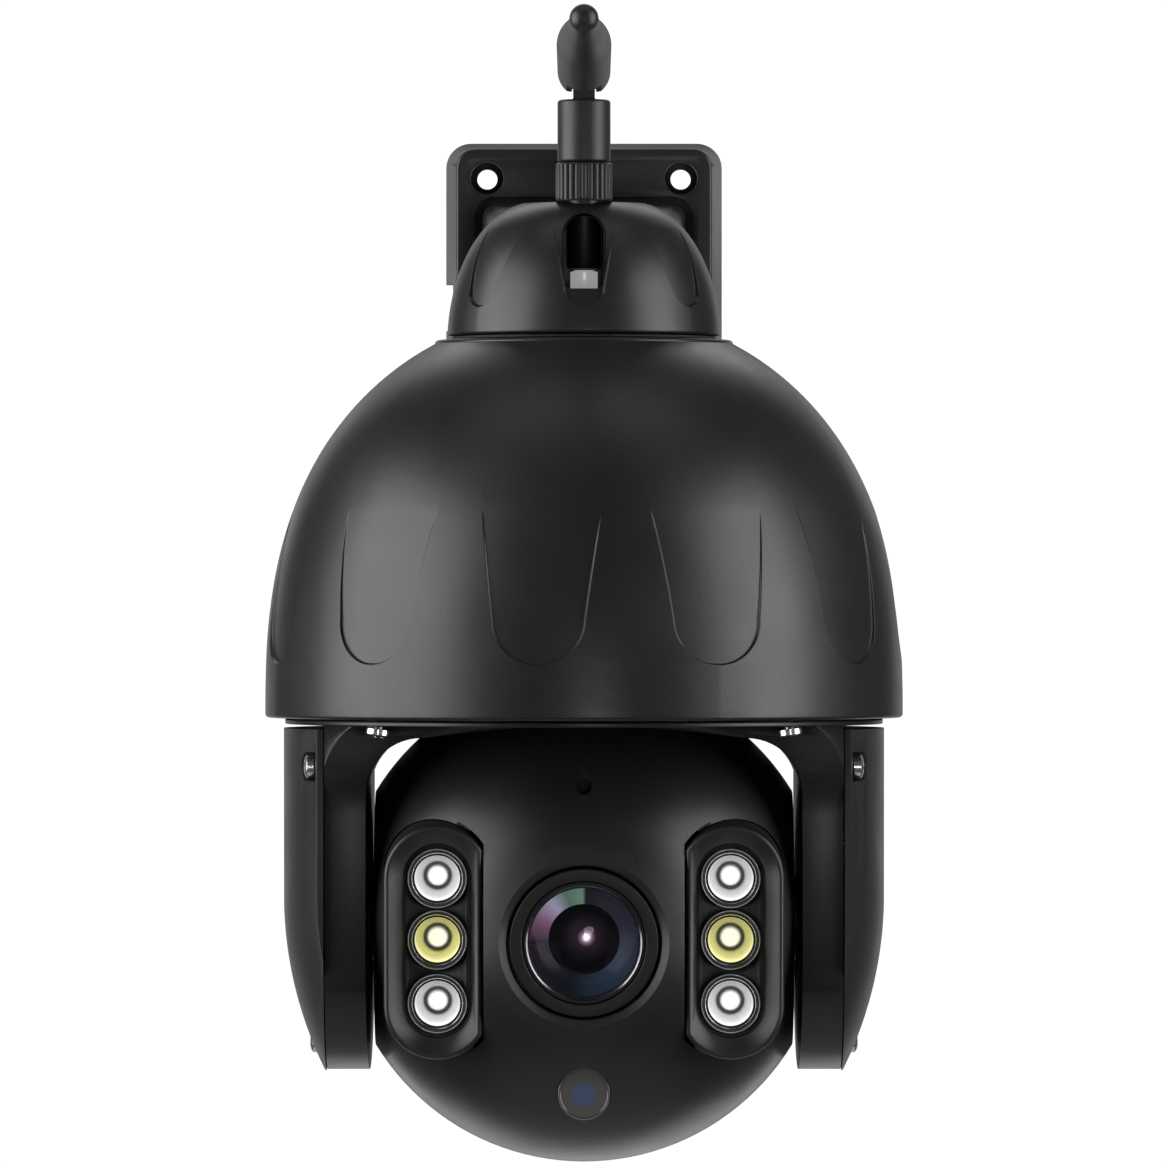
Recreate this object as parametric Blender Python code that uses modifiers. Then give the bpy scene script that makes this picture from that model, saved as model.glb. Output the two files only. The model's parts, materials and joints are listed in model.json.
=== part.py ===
"""Outdoor pan and tilt security camera on a wall bracket.

Frame: origin at the middle of the wall face, +Y into the wall, -Y towards the
viewer, +Z up.  All sizes are metres.
"""
from math import acos, asin, atan2, cos, pi, radians, sin, sqrt

import bmesh
import bpy
from mathutils import Matrix, Vector

GAP = 0.0003                      # air left between pieces that touch

# Driving places
PAN_Y = -0.115                    # pan axis, in front of the wall
TILT_Z = -0.1554                  # tilt axis height
HEAD_PITCH = radians(4.5)         # the head looks down this much at rest

# Wall base
BASE_WIDTH = 0.072
BASE_HEIGHT = 0.086
BASE_DEPTH = 0.014
BASE_DRAFT = 0.0035               # each side leans in by this much
BASE_CORNER = 0.0065
HOLE_X = 0.0252
HOLE_Z = 0.0335
HOLE_RADIUS = 0.0026
COUNTERBORE_RADIUS = 0.0043
COUNTERBORE_DEPTH = 0.0095
POCKET_DEPTH = 0.010
NOTCH_HEIGHT = 0.012

# Arm and cap, one casting
ARM_ROOT = (0.0532, 0.0540)       # width and height at the wall base
ARM_NOSE = (0.0440, 0.0270)       # width and height inside the cap
ARM_NOSE_Z = 0.0072
ARM_CORNER = 0.0040
ARM_WALL = 0.004
ARM_SCREW_X = 0.017
ARM_SCREW_Z = 0.017
CAP_TOP = 0.0230
CAP_BOTTOM = -0.0100
CAP_WALL = 0.003
SLOT_WIDTH = 0.010
SLOT_BOTTOM = 0.0010
SLOT_TOP = 0.0193

# Dome housing
DOME_TOP = -0.0111
DOME_RIM = -0.1053
DOME_RADIUS = 0.0797
DOME_RISE = 0.1023                # height of the full crown above the rim
DOME_WALL = 0.0025
DOME_NECK = 0.028

# Turntable, fork and covers
DISC_RADIUS = 0.0747
DISC_TOP = DOME_RIM - GAP
DISC_THICK = 0.0013
ARM_INNER_X = 0.0539
ARM_OUTER_X = 0.0640
ARM_HALF_DEPTH = 0.0345
ARM_END_RADIUS = 0.0378
ARM_FLOOR = 0.0045                # inner wall left behind the gear pocket
COVER_RADIUS = 0.0750
COVER_SEAM_X = ARM_OUTER_X + GAP
COVER_TOP = -0.1079
COVER_HALF_DEPTH = 0.0360
COVER_END_RADIUS = 0.0381
COVER_WALL = 0.002
COVER_TAPER_START = -0.1495
COVER_TAPER_RADIUS = 0.0985
DISH_RADIUS = 0.0625
HUB_RADIUS = 0.012
HUB_BORE = 0.008
HUB_TOP = -0.0660
YOKE_SCREW_X = 0.0505
YOKE_SCREW_Y = 0.0480
COVER_SCREWS = ((-0.0305, -0.1171), (0.0305, -0.1171), (0.0, -0.1862))   # local Y and height
SCREW_SEATS = (0.0663, 0.0663, 0.0656)                                   # distance of each seat from the axis

# Pan drive
PAN_TEETH = 48
PAN_PINION_TEETH = 12
PAN_MODULE = 0.00125
PAN_GEAR_Z = -0.0870
PLATE_Z = -0.0810
PAN_MOTOR_ANGLE = radians(60)
BOARD_Z = -0.0460
STANDOFF_ANGLES = (radians(135), radians(315))
STANDOFF_REACH = 0.0440

# Tilt drive
TILT_TEETH = 30
TILT_PINION_TEETH = 10
TILT_MODULE = 0.00096
TILT_GEAR_X = 0.0616

# Head
BALL_RADIUS = 0.0609
BALL_FLAT_X = 0.0520
BALL_WALL = 0.0025
SEAM_Y = 0.0120                   # front and rear shells meet behind the axis
SHAFT_RADIUS = 0.006
FLANGE_RADIUS = 0.0106
LENS_BORE = 0.0188
LENS_FRONT = 0.0570
POD_X = 0.0360
POD_Z = -0.0004
POD_RADIUS = 0.0131
POD_HALF_HEIGHT = 0.0289
POD_INNER_X = 0.0249              # the side towards the lens is flat
POD_FRONT = 0.0520
POD_DEPTH = 0.0180
WINDOW_WIDTH = 0.0166
WINDOW_HEIGHT = 0.0478
LED_HEIGHTS = (0.0150, -0.0002, -0.0159)
LED_RADIUS = 0.0073
SENSOR_Z = -0.0382
SENSOR_RADIUS = 0.0064
SENSOR_FRONT = 0.0490
MIC_Z = 0.0375
MIC_RADIUS = 0.0019

# Antenna
ANTENNA_Y = PAN_Y - 0.0130
FOLD_Z = 0.0556
NUT_TOP = 0.0327
NUT_RADIUS = 0.0071
STEM_RADIUS = 0.0042
FOOT_TOP = 0.0484
FOOT_RADIUS = 0.0066
ANTENNA_RISE = radians(1.3)       # the folded whip points up this much
WHIP_LENGTH = 0.172
WHIP_RADIUS = 0.0066
WHIP_TIP_RADIUS = 0.0034
WHIP_TAPER = ((0.00375, 0.150), (0.0043, 0.135), (0.0049, 0.122), (0.0054, 0.113), (0.0060, 0.104),
              (0.00645, 0.096), (WHIP_RADIUS, 0.088))
WHIP_FLAT = 0.0050                # the hinge end is cut flat this far under its axis
TONGUE_HALF = 0.0027

FINISHES = {
    "black_paint": ((0.035, 0.036, 0.038), 0.42, 0.35),
    "black_plastic": ((0.028, 0.029, 0.031), 0.45, 0.0),
    "gloss_plastic": ((0.012, 0.012, 0.014), 0.15, 0.0),
    "rubber": ((0.02, 0.02, 0.02), 0.8, 0.0),
    "steel": ((0.72, 0.72, 0.73), 0.28, 1.0),
    "brass": ((0.75, 0.58, 0.28), 0.3, 1.0),
    "board": ((0.03, 0.16, 0.07), 0.5, 0.0),
    "white_plastic": ((0.82, 0.82, 0.8), 0.4, 0.0),
    "glass": ((0.03, 0.035, 0.06), 0.05, 0.0),
    "clear": ((0.92, 0.93, 0.95), 0.08, 0.0),
    "warm_clear": ((0.93, 0.89, 0.55), 0.08, 0.0),
}


# ---------------------------------------------------------------- helpers

def clear_scene():
    for obj in list(bpy.data.objects):
        bpy.data.objects.remove(obj, do_unlink=True)


def collection(name):
    group = bpy.data.collections.new(name)
    bpy.context.scene.collection.children.link(group)
    return group


def material(name, finish):
    colour, roughness, metallic = FINISHES[finish]
    mat = bpy.data.materials.new(name)
    mat.use_nodes = True
    shader = mat.node_tree.nodes["Principled BSDF"]
    shader.inputs["Base Color"].default_value = (*colour, 1.0)
    shader.inputs["Roughness"].default_value = roughness
    shader.inputs["Metallic"].default_value = metallic
    return mat


def add(name, mesh, finish, place=(0, 0, 0), turn=(0, 0, 0), parent=None):
    """A named sub-part with its own material, or a cutter when finish is None."""
    obj = bpy.data.objects.new(name, mesh)
    obj.location = place
    obj.rotation_euler = turn
    obj.parent = parent
    if finish is None:
        CUTTERS.objects.link(obj)
        obj.hide_render = True
        obj.display_type = "WIRE"
        return obj
    PARTS.objects.link(obj)
    mesh.materials.append(material(name, finish))
    mesh.shade_smooth()
    mesh.set_sharp_from_angle(angle=radians(32))
    return obj


def from_bmesh(name, bm, finish, **where):
    bmesh.ops.recalc_face_normals(bm, faces=bm.faces[:])
    mesh = bpy.data.meshes.new(name)
    bm.to_mesh(mesh)
    bm.free()
    return add(name, mesh, finish, **where)


def boolean(obj, tool, operation="DIFFERENCE"):
    mod = obj.modifiers.new(tool.name, "BOOLEAN")
    mod.operation = operation
    mod.object = tool
    mod.solver = "EXACT"
    return obj


AXES = {"X": (0, pi / 2, 0), "Y": (pi / 2, 0, 0), "Z": (0, 0, 0)}
FRONT_VIEW = (pi / 2, 0, 0)             # outline x, y become X and Z
SIDE_VIEW = (pi / 2, 0, pi / 2)         # outline x, y become Y and Z


def box(name, size, centre, finish, bevel=0.0, parent=None):
    bm = bmesh.new()
    bmesh.ops.create_cube(bm, size=1.0, matrix=Matrix.Diagonal((*size, 1.0)))
    if bevel:
        bmesh.ops.bevel(bm, geom=bm.edges[:], offset=bevel, segments=2, affect="EDGES", profile=0.5)
    return from_bmesh(name, bm, finish, place=centre, parent=parent)


def rod(name, radius, length, centre, axis, finish, segments=24, parent=None):
    bm = bmesh.new()
    bmesh.ops.create_cone(bm, cap_ends=True, segments=segments, radius1=radius, radius2=radius, depth=length)
    return from_bmesh(name, bm, finish, place=centre, turn=AXES[axis], parent=parent)


def turned(name, profile, finish, segments=48, closed=True, **where):
    """Profile of (radius, height) points, outer side top to bottom, spun about Z."""
    mesh = bpy.data.meshes.new(name)
    points = [(radius, 0.0, height) for radius, height in profile]
    count = len(points)
    edges = [(i, i + 1) for i in range(count - 1)]
    if closed:
        edges.append((count - 1, 0))
    mesh.from_pydata(points, edges, [])
    obj = add(name, mesh, finish, **where)
    screw = obj.modifiers.new("turned", "SCREW")
    screw.axis = "Z"
    screw.angle = 2 * pi
    screw.steps = segments
    screw.render_steps = segments
    screw.use_merge_vertices = True
    screw.merge_threshold = 0.00001
    screw.use_smooth_shade = True
    return obj


def ring(name, outer, inner, low, high, finish, segments=36, **where):
    profile = [(outer, high), (outer, low), (inner, low), (inner, high)]
    return turned(name, profile, finish, segments, **where)


def plate(name, outlines, thickness, finish, place=(0, 0, 0), turn=(0, 0, 0), parent=None):
    """Flat piece from closed outlines; an outline inside another is a hole."""
    curve = bpy.data.curves.new(name, "CURVE")
    curve.dimensions = "2D"
    curve.fill_mode = "BOTH"
    curve.extrude = thickness / 2
    for outline in outlines:
        spline = curve.splines.new("POLY")
        spline.points.add(len(outline) - 1)
        for point, (x, y) in zip(spline.points, outline):
            point.co = (x, y, 0.0, 1.0)
        spline.use_cyclic_u = True
    guide = bpy.data.objects.new(name + "_outline", curve)
    bpy.context.scene.collection.objects.link(guide)
    bpy.context.view_layer.update()
    graph = bpy.context.evaluated_depsgraph_get()
    mesh = bpy.data.meshes.new_from_object(guide.evaluated_get(graph))
    bpy.data.objects.remove(guide, do_unlink=True)
    bm = bmesh.new()
    bm.from_mesh(mesh)
    bpy.data.meshes.remove(mesh)
    bmesh.ops.remove_doubles(bm, verts=bm.verts[:], dist=0.000002)
    return from_bmesh(name, bm, finish, place=place, turn=turn, parent=parent)


def arc(centre, radius, start, end, steps):
    cx, cy = centre
    angles = [start + (end - start) * i / steps for i in range(steps + 1)]
    return [(cx + radius * cos(a), cy + radius * sin(a)) for a in angles]


def circle(radius, centre=(0, 0), steps=28):
    return arc(centre, radius, 0, 2 * pi * (steps - 1) / steps, steps - 1)


def stadium(width, height, centre=(0, 0), steps=8):
    radius = width / 2
    reach = height / 2 - radius
    cx, cy = centre
    return (arc((cx, cy + reach), radius, 0, pi, steps)
            + arc((cx, cy - reach), radius, pi, 2 * pi, steps))


def rounded_rectangle(width, height, radius, centre=(0, 0), steps=5):
    cx, cy = centre
    points = []
    for quarter in range(4):
        side_x = 1 if quarter in (0, 3) else -1
        side_y = 1 if quarter in (0, 1) else -1
        middle = (cx + side_x * (width / 2 - radius), cy + side_y * (height / 2 - radius))
        points += arc(middle, radius, quarter * pi / 2, (quarter + 1) * pi / 2, steps)
    return points


def gear_outline(teeth, module, phase=0.0):
    """Trapezoid teeth with room for a running gap; phase is in tooth pitches."""
    pitch_radius = teeth * module / 2
    tip = pitch_radius + 0.75 * module
    root = pitch_radius - 1.15 * module
    pitch = 2 * pi / teeth
    points = []
    for tooth in range(teeth):
        middle = (tooth + phase) * pitch
        for radius, offset in ((root, -0.30), (tip, -0.10), (tip, 0.10), (root, 0.30)):
            angle = middle + offset * pitch
            points.append((radius * cos(angle), radius * sin(angle)))
    return points


def axis_empty(name, place, turn=(0, 0, 0), parent=None):
    empty = bpy.data.objects.new(name, None)
    empty.location = place
    empty.rotation_euler = turn
    empty.parent = parent
    PARTS.objects.link(empty)
    return empty


def pan_head_screw(name, head_radius, head_height, shaft_radius, shaft_length, finish, segments=12, **where):
    """Screw whose head sits above z = 0 and whose shaft runs down from it."""
    crown = head_height * 0.35
    profile = [(0.0, head_height), (head_radius * 0.6, head_height - crown * 0.3),
               (head_radius, head_height - crown), (head_radius, 0.0),
               (shaft_radius, 0.0), (shaft_radius, -shaft_length), (0.0, -shaft_length)]
    return turned(name, profile, finish, segments, closed=False, **where)


# ---------------------------------------------------------------- bracket

def drafted_block(name, width, depth, height, lean, corner, finish, place):
    """Block whose front face is smaller than its back by a lean on every side."""
    bm = bmesh.new()
    bmesh.ops.create_cube(bm, size=1.0, matrix=Matrix.Diagonal((width, depth, height, 1.0)))
    for vert in bm.verts:
        if vert.co.y < 0:
            vert.co.x -= lean * (1 if vert.co.x > 0 else -1)
            vert.co.z -= lean * (1 if vert.co.z > 0 else -1)
    sides = [e for e in bm.edges if abs(e.verts[0].co.y - e.verts[1].co.y) > depth / 2]
    bmesh.ops.bevel(bm, geom=sides, offset=corner, segments=4, affect="EDGES", profile=0.5)
    face = min(bm.faces, key=lambda f: f.calc_center_median().y)
    bmesh.ops.bevel(bm, geom=face.edges[:], offset=0.0008, segments=2, affect="EDGES", profile=0.5)
    return from_bmesh(name, bm, finish, place=place)


def build_wall_base():
    base = drafted_block("wall_base", BASE_WIDTH, BASE_DEPTH, BASE_HEIGHT, BASE_DRAFT, BASE_CORNER,
                         "black_paint", (0, -BASE_DEPTH / 2, 0))
    rib = 0.008
    pocket_width = 0.026
    pocket_height = 0.052
    for side in (-1, 1):
        centre = (side * (rib + pocket_width) / 2, -POCKET_DEPTH / 2 + 0.001, 0)
        size = (pocket_width, POCKET_DEPTH + 0.002, pocket_height)
        boolean(base, box(f"cut_pocket_{side}", size, centre, None))
    recess = rounded_rectangle(ARM_ROOT[0] + 0.003, ARM_ROOT[1] + 0.003, ARM_CORNER + 0.0015)
    boolean(base, plate("cut_arm_recess", [recess], 0.004, None,
                        place=(0, -BASE_DEPTH, 0), turn=FRONT_VIEW))
    notch_place = (-BASE_WIDTH / 2, -0.003, 0)
    boolean(base, box("cut_cable_notch", (0.016, 0.012, NOTCH_HEIGHT), notch_place, None))
    boolean(base, rod("cut_base_wire_hole", 0.006, 0.02, (-0.0125, -0.012, 0), "Y", None))
    for side_x in (-1, 1):
        for side_z in (-1, 1):
            place = Vector((side_x * HOLE_X, -0.007, side_z * HOLE_Z))
            name = f"{side_x}_{side_z}"
            boolean(base, rod("cut_wall_hole_" + name, HOLE_RADIUS, 0.03, place, "Y", None, 14))
            bore = Vector((place.x, -BASE_DEPTH, place.z))
            boolean(base, rod("cut_counterbore_" + name, COUNTERBORE_RADIUS, 2 * COUNTERBORE_DEPTH, bore, "Y",
                              None, 18))
    for side_z in (-1, 1):
        place = (ARM_SCREW_X, -0.011, side_z * ARM_SCREW_Z)
        boolean(base, rod(f"cut_arm_screw_{side_z}", 0.0022, 0.01, place, "Y", None, 16))


def tapered_bar(name, root, nose, root_y, nose_y, corner, finish):
    """Rectangular bar from the root section at the wall to the nose in the cap."""
    bm = bmesh.new()
    bmesh.ops.create_cube(bm, size=1.0)
    for vert in bm.verts:
        at_root = vert.co.y > 0
        width, height = root if at_root else nose
        lift = 0.0 if at_root else ARM_NOSE_Z
        vert.co = (vert.co.x * width, root_y if at_root else nose_y, vert.co.z * height + lift)
    sides = [e for e in bm.edges if abs(e.verts[0].co.y - e.verts[1].co.y) > 0.01]
    bmesh.ops.bevel(bm, geom=sides, offset=corner, segments=4, affect="EDGES", profile=0.5)
    return from_bmesh(name, bm, finish)


def cap_profile(inset, low, high):
    """Bell outline: a quarter ellipse with a flat top, inset by a wall."""
    centre_r, centre_z = 0.012, -0.012
    reach_r, reach_z = 0.0222 - inset, 0.0355 - inset
    steps = 4 if inset else 7
    start = asin(min(1.0, (high - centre_z) / reach_z))
    end = asin((low - centre_z) / reach_z) if low > centre_z else 0.0
    points = [(0.0, high)]
    for i in range(steps + 1):
        angle = start + (end - start) * i / steps
        points.append((centre_r + reach_r * cos(angle), centre_z + reach_z * sin(angle)))
    return points


def build_bracket_arm():
    root_y = -(BASE_DEPTH - 0.002) - GAP
    nose_y = PAN_Y + 0.020
    arm = tapered_bar("bracket_arm", ARM_ROOT, ARM_NOSE, root_y, nose_y, ARM_CORNER, "black_paint")
    outer = cap_profile(0.0, CAP_BOTTOM, CAP_TOP) + [(0.0, CAP_BOTTOM)]
    pan_place = (0, PAN_Y, 0)
    boolean(arm, turned("join_cap", outer, None, 36, closed=False, place=pan_place), "UNION")
    inner = cap_profile(CAP_WALL, CAP_BOTTOM, CAP_TOP - CAP_WALL)
    inner += [(inner[-1][0], CAP_BOTTOM - 0.002), (0.0, CAP_BOTTOM - 0.002)]
    hollow = turned("cut_cap_hollow", inner, None, 28, closed=False, place=pan_place)
    channel = box("cut_channel_block", (0.015, 0.035, 0.030), (0, PAN_Y - 0.0215, 0.0130), None)
    boolean(hollow, channel)
    boolean(arm, hollow)
    passage_root = [size - 2 * ARM_WALL for size in ARM_ROOT]
    passage_nose = [size - 2 * ARM_WALL for size in ARM_NOSE]
    boolean(arm, tapered_bar("cut_arm_passage", passage_root, passage_nose,
                             root_y - 0.008, nose_y - 0.006, 0.004, None))
    boolean(arm, rod("cut_arm_wire_hole", 0.006, 0.03, (-0.0125, root_y, 0), "Y", None))
    for side_z in (-1, 1):
        place = (ARM_SCREW_X, root_y, side_z * ARM_SCREW_Z)
        boolean(arm, rod(f"cut_arm_thread_{side_z}", 0.0022, 0.014, place, "Y", None, 16))
    slot_height = SLOT_TOP - SLOT_BOTTOM
    half = SLOT_WIDTH / 2
    slot = [(-half, 0), (half, 0)] + arc((0, slot_height - half), half, 0, pi, 10)
    slot_depth = 0.030
    slot_y = ANTENNA_Y + 0.0046 - slot_depth / 2
    boolean(arm, plate("cut_antenna_slot", [slot], slot_depth, None,
                       place=(0, slot_y, SLOT_BOTTOM), turn=FRONT_VIEW))
    boolean(arm, rod("cut_antenna_hole", STEM_RADIUS + 0.0004, 0.02, (0, ANTENNA_Y, CAP_TOP), "Z", None))
    boolean(arm, rod("cut_jack_hole", 0.0027, 0.02, (0, ANTENNA_Y, 0), "Z", None, 20))


def build_arm_screws():
    for index, side_z in enumerate((-1, 1), start=1):
        pan_head_screw(f"arm_screw_{index}", 0.0036, 0.0025, 0.0019, 0.008, "steel",
                       place=(ARM_SCREW_X, -POCKET_DEPTH + GAP, side_z * ARM_SCREW_Z), turn=(-pi / 2, 0, 0))


# ---------------------------------------------------------------- dome

def dome_radius(height, inset=0.0):
    """Crown radius at a height: a full, round shouldered bell."""
    share = (height - DOME_RIM) / (DOME_RISE - inset)
    return (DOME_RADIUS - inset) * (1 - share ** 2.593) ** (1 / 2.037)


def build_dome():
    rings = 10
    outer = []
    for i in range(rings + 1):
        height = DOME_TOP + (DOME_RIM - DOME_TOP) * i / rings
        outer.append((dome_radius(height), height))
    inner = []
    inner_top = DOME_TOP - DOME_WALL - 0.001
    inner_rings = 5
    for i in range(inner_rings + 1):
        height = DOME_RIM + (inner_top - DOME_RIM) * i / inner_rings
        inner.append((dome_radius(height, DOME_WALL), height))
    neck = [(DOME_NECK, inner_top), (DOME_NECK, DOME_TOP)]
    turned("dome_shell", outer + inner + neck, "black_paint", 40, place=(0, PAN_Y, 0))
    ring("neck_gasket", 0.0330, 0.0290, DOME_TOP + GAP, CAP_BOTTOM - GAP, "rubber", 28, place=(0, PAN_Y, 0))


def motor_place(distance):
    return Vector((distance * cos(PAN_MOTOR_ANGLE), PAN_Y + distance * sin(PAN_MOTOR_ANGLE), 0))


def pan_centre_distance():
    return PAN_MODULE * (PAN_TEETH + PAN_PINION_TEETH) / 2 + 0.0002


def build_chassis():
    motor_xy = motor_place(pan_centre_distance())
    local = (motor_xy.x, motor_xy.y - PAN_Y)
    plate("chassis_plate", [circle(0.0735, steps=32), circle(0.0185, steps=24), circle(0.0045, local, 12)],
          0.0025, "steel", place=(0, PAN_Y, PLATE_Z + 0.00125))
    low = PLATE_Z - 0.0005
    outer = 0.0185 - GAP
    ring("pan_bearing", outer, HUB_RADIUS + GAP, low, PLATE_Z + 0.0055, "steel", 28, place=(0, PAN_Y, 0))
    motor = rod("pan_motor", 0.0140, 0.0190, (motor_xy.x, motor_xy.y, PLATE_Z + 0.0025 + GAP + 0.0095), "Z",
                "steel", 32)
    shaft = rod("join_pan_motor_shaft", 0.0015, 0.0150,
                (motor_xy.x, motor_xy.y, PLATE_Z + 0.0010), "Z", None, 16)
    boolean(motor, shaft, "UNION")
    plate("main_board", [rounded_rectangle(0.078, 0.070, 0.004), circle(0.013, steps=24)], 0.0016, "board",
          place=(0, PAN_Y, BOARD_Z))
    low_end = PLATE_Z + 0.0025 + GAP
    high_end = BOARD_Z - 0.0008 - GAP
    for index, angle in enumerate(STANDOFF_ANGLES, start=1):
        place = (STANDOFF_REACH * cos(angle), PAN_Y + STANDOFF_REACH * sin(angle), 0)
        ring(f"board_standoff_{index}", 0.003, 0.0013, low_end, high_end, "brass", 16, place=place)


def build_pan_pinion():
    centre = motor_place(pan_centre_distance())
    outline = gear_outline(PAN_PINION_TEETH, PAN_MODULE, pinion_phase())
    plate("pan_pinion", [outline, circle(0.0018, steps=16)], 0.004, "brass",
          place=(centre.x, centre.y, PAN_GEAR_Z + 0.0005))


def pinion_phase():
    """Turns the pinion so that a gap of it faces a tooth of the gear."""
    pitch = 2 * pi / PAN_PINION_TEETH
    facing = PAN_MOTOR_ANGLE + pi
    return facing / pitch + 0.5


# ---------------------------------------------------------------- fork

def fork_front_outline():
    """Upside down U: shallow arch on top, round inner corners, straight arms."""
    low = TILT_Z - 0.045
    corner = 0.009
    shoulder_z = DISC_TOP - 0.0043
    inner_x = ARM_INNER_X
    arch = []
    steps = 6
    reach = inner_x - corner
    for i in range(1, steps):
        x = -reach + 2 * reach * i / steps
        rise = 0.0030 * (1 - (x / reach) ** 2)
        arch.append((x, shoulder_z + rise))
    left = arc((-reach, shoulder_z - corner), corner, pi, pi / 2, 4)
    right = arc((reach, shoulder_z - corner), corner, pi / 2, 0, 4)
    outer = ARM_OUTER_X
    start = [(-outer, DISC_TOP), (-outer, low), (-inner_x, low)]
    return start + left + arch + right + [(inner_x, low), (outer, low), (outer, DISC_TOP)]


def arm_side_outline(half_depth, end_radius, top, flare):
    """Side of an arm: a round lower end about the tilt axis, flared at the top."""
    sink = sqrt(max(end_radius ** 2 - half_depth ** 2, 0.0))
    start = atan2(-sink, -half_depth)
    end = atan2(-sink, half_depth)
    points = arc((0, TILT_Z), end_radius, start, end, 10)
    if flare:
        points += arc((half_depth + flare, top - flare), flare, pi, pi / 2, 4)
        points += arc((-half_depth - flare, top - flare), flare, pi / 2, 0, 4)
    else:
        points += [(half_depth, top), (-half_depth, top)]
    return points


def build_fork(pan):
    yoke = plate("yoke", [fork_front_outline()], 0.150, "black_paint", turn=FRONT_VIEW, parent=pan)
    side = arm_side_outline(ARM_HALF_DEPTH, ARM_END_RADIUS, DISC_TOP + 0.002, 0.026)
    boolean(yoke, plate("keep_fork_side", [side], 0.160, None, turn=SIDE_VIEW, parent=pan), "INTERSECT")
    cylinder_z = (DISC_TOP + TILT_Z - 0.05) / 2
    boolean(yoke, rod("keep_fork_round", DISC_RADIUS - 0.0004, DISC_TOP - TILT_Z + 0.05,
                      (0, 0, cylinder_z), "Z", None, 48, parent=pan), "INTERSECT")
    disc_z = DISC_TOP - DISC_THICK / 2
    boolean(yoke, rod("join_disc", DISC_RADIUS, DISC_THICK, (0, 0, disc_z), "Z", None, 48, parent=pan), "UNION")
    boolean(yoke, turned("join_dish", dish_profile(), None, 30, parent=pan), "UNION")
    bm = bmesh.new()
    bmesh.ops.create_uvsphere(bm, u_segments=30, v_segments=22, radius=DISH_RADIUS)
    boolean(yoke, from_bmesh("cut_dish", bm, None, place=(0, 0, TILT_Z), parent=pan))
    for side_x in (-1, 1):
        cut_arm_pocket(yoke, side_x, pan)
    for side_x in (-1, 1):
        for side_y in (-1, 1):
            place = (side_x * YOKE_SCREW_X, side_y * YOKE_SCREW_Y, DISC_TOP)
            boolean(yoke, rod(f"cut_yoke_screw_{side_x}_{side_y}", 0.0036, 0.030,
                              (place[0], place[1], DISC_TOP - DISC_THICK - 0.015), "Z", None, 12, parent=pan))
            boolean(yoke, rod(f"cut_yoke_thread_{side_x}_{side_y}", 0.0017, 0.010, place, "Z", None, 8,
                              parent=pan))


def dish_profile():
    """Round ceiling over the ball and the hollow pan hub on top of it."""
    outer_radius = DISH_RADIUS + 0.002
    inner_radius = DISH_RADIUS - 0.001
    rim_z = DISC_TOP - DISC_THICK - TILT_Z
    hub_angle = asin(sqrt(1 - (HUB_RADIUS / outer_radius) ** 2))
    rim_angle = asin(rim_z / outer_radius)
    inner_rim = asin(rim_z / inner_radius)
    inner_hub = asin(sqrt(1 - (HUB_BORE / inner_radius) ** 2))
    steps = 4
    top = [(HUB_BORE, HUB_TOP), (HUB_RADIUS, HUB_TOP)]
    outer = [(r, z + TILT_Z) for r, z in arc((0, 0), outer_radius, hub_angle, rim_angle, steps)]
    inner = [(r, z + TILT_Z) for r, z in arc((0, 0), inner_radius, inner_rim, inner_hub, steps)]
    return top + outer + inner


def cut_arm_pocket(yoke, side_x, pan):
    """Gear pocket open to the cover, the bearing bore and the screw threads."""
    inset = 0.003
    outline = arm_side_outline(ARM_HALF_DEPTH - inset, ARM_END_RADIUS - inset, COVER_TOP - 0.006, 0)
    depth = 0.020
    middle = side_x * (ARM_INNER_X + ARM_FLOOR + depth / 2)
    pocket = plate(f"cut_pocket_arm_{side_x}", [outline], depth, None, place=(middle, 0, 0),
                   turn=SIDE_VIEW, parent=pan)
    for index, (y, z) in enumerate(COVER_SCREWS):
        boss = rod(f"keep_boss_{side_x}_{index}", 0.0034, 0.06, (middle, y, z), "X", None, 10, parent=pan)
        boolean(pocket, boss)
    boolean(yoke, pocket)
    place = (side_x * ARM_INNER_X, 0, TILT_Z)
    boolean(yoke, rod(f"cut_bearing_{side_x}", 0.0113, 0.022, place, "X", None, 24, parent=pan))
    for index, (y, z) in enumerate(COVER_SCREWS):
        place = (side_x * (ARM_INNER_X + 0.0085), y, z)
        boolean(yoke, rod(f"cut_cover_thread_{side_x}_{index}", 0.0015, 0.013, place, "X", None, 8, parent=pan))


def cover_profile(radius, top):
    """Outer side of a cover, straight and then curving in towards its foot."""
    low = TILT_Z - 0.045
    points = [(0.0, top), (radius, top), (radius, COVER_TAPER_START)]
    steps = 5
    for i in range(1, steps + 1):
        drop = (COVER_TAPER_START - low) * i / steps
        inward = COVER_TAPER_RADIUS - sqrt(COVER_TAPER_RADIUS ** 2 - drop ** 2)
        points.append((radius - inward, COVER_TAPER_START - drop))
    return points + [(0.0, low)]


def cover_block(name, side_x, inset, seam, finish, pan):
    """Part of the turned outside that lies over one arm, as a plate cut to fit."""
    outline = arm_side_outline(COVER_HALF_DEPTH - inset, COVER_END_RADIUS - inset, COVER_TOP - inset, 0)
    width = 0.016
    block = plate(name, [outline], width, finish, place=(side_x * (seam + width / 2), 0, 0),
                  turn=SIDE_VIEW, parent=pan)
    skin = turned("keep_skin_" + name, cover_profile(COVER_RADIUS - inset, COVER_TOP + 0.003), None, 72,
                  closed=False, parent=pan)
    return boolean(block, skin, "INTERSECT")


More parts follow.
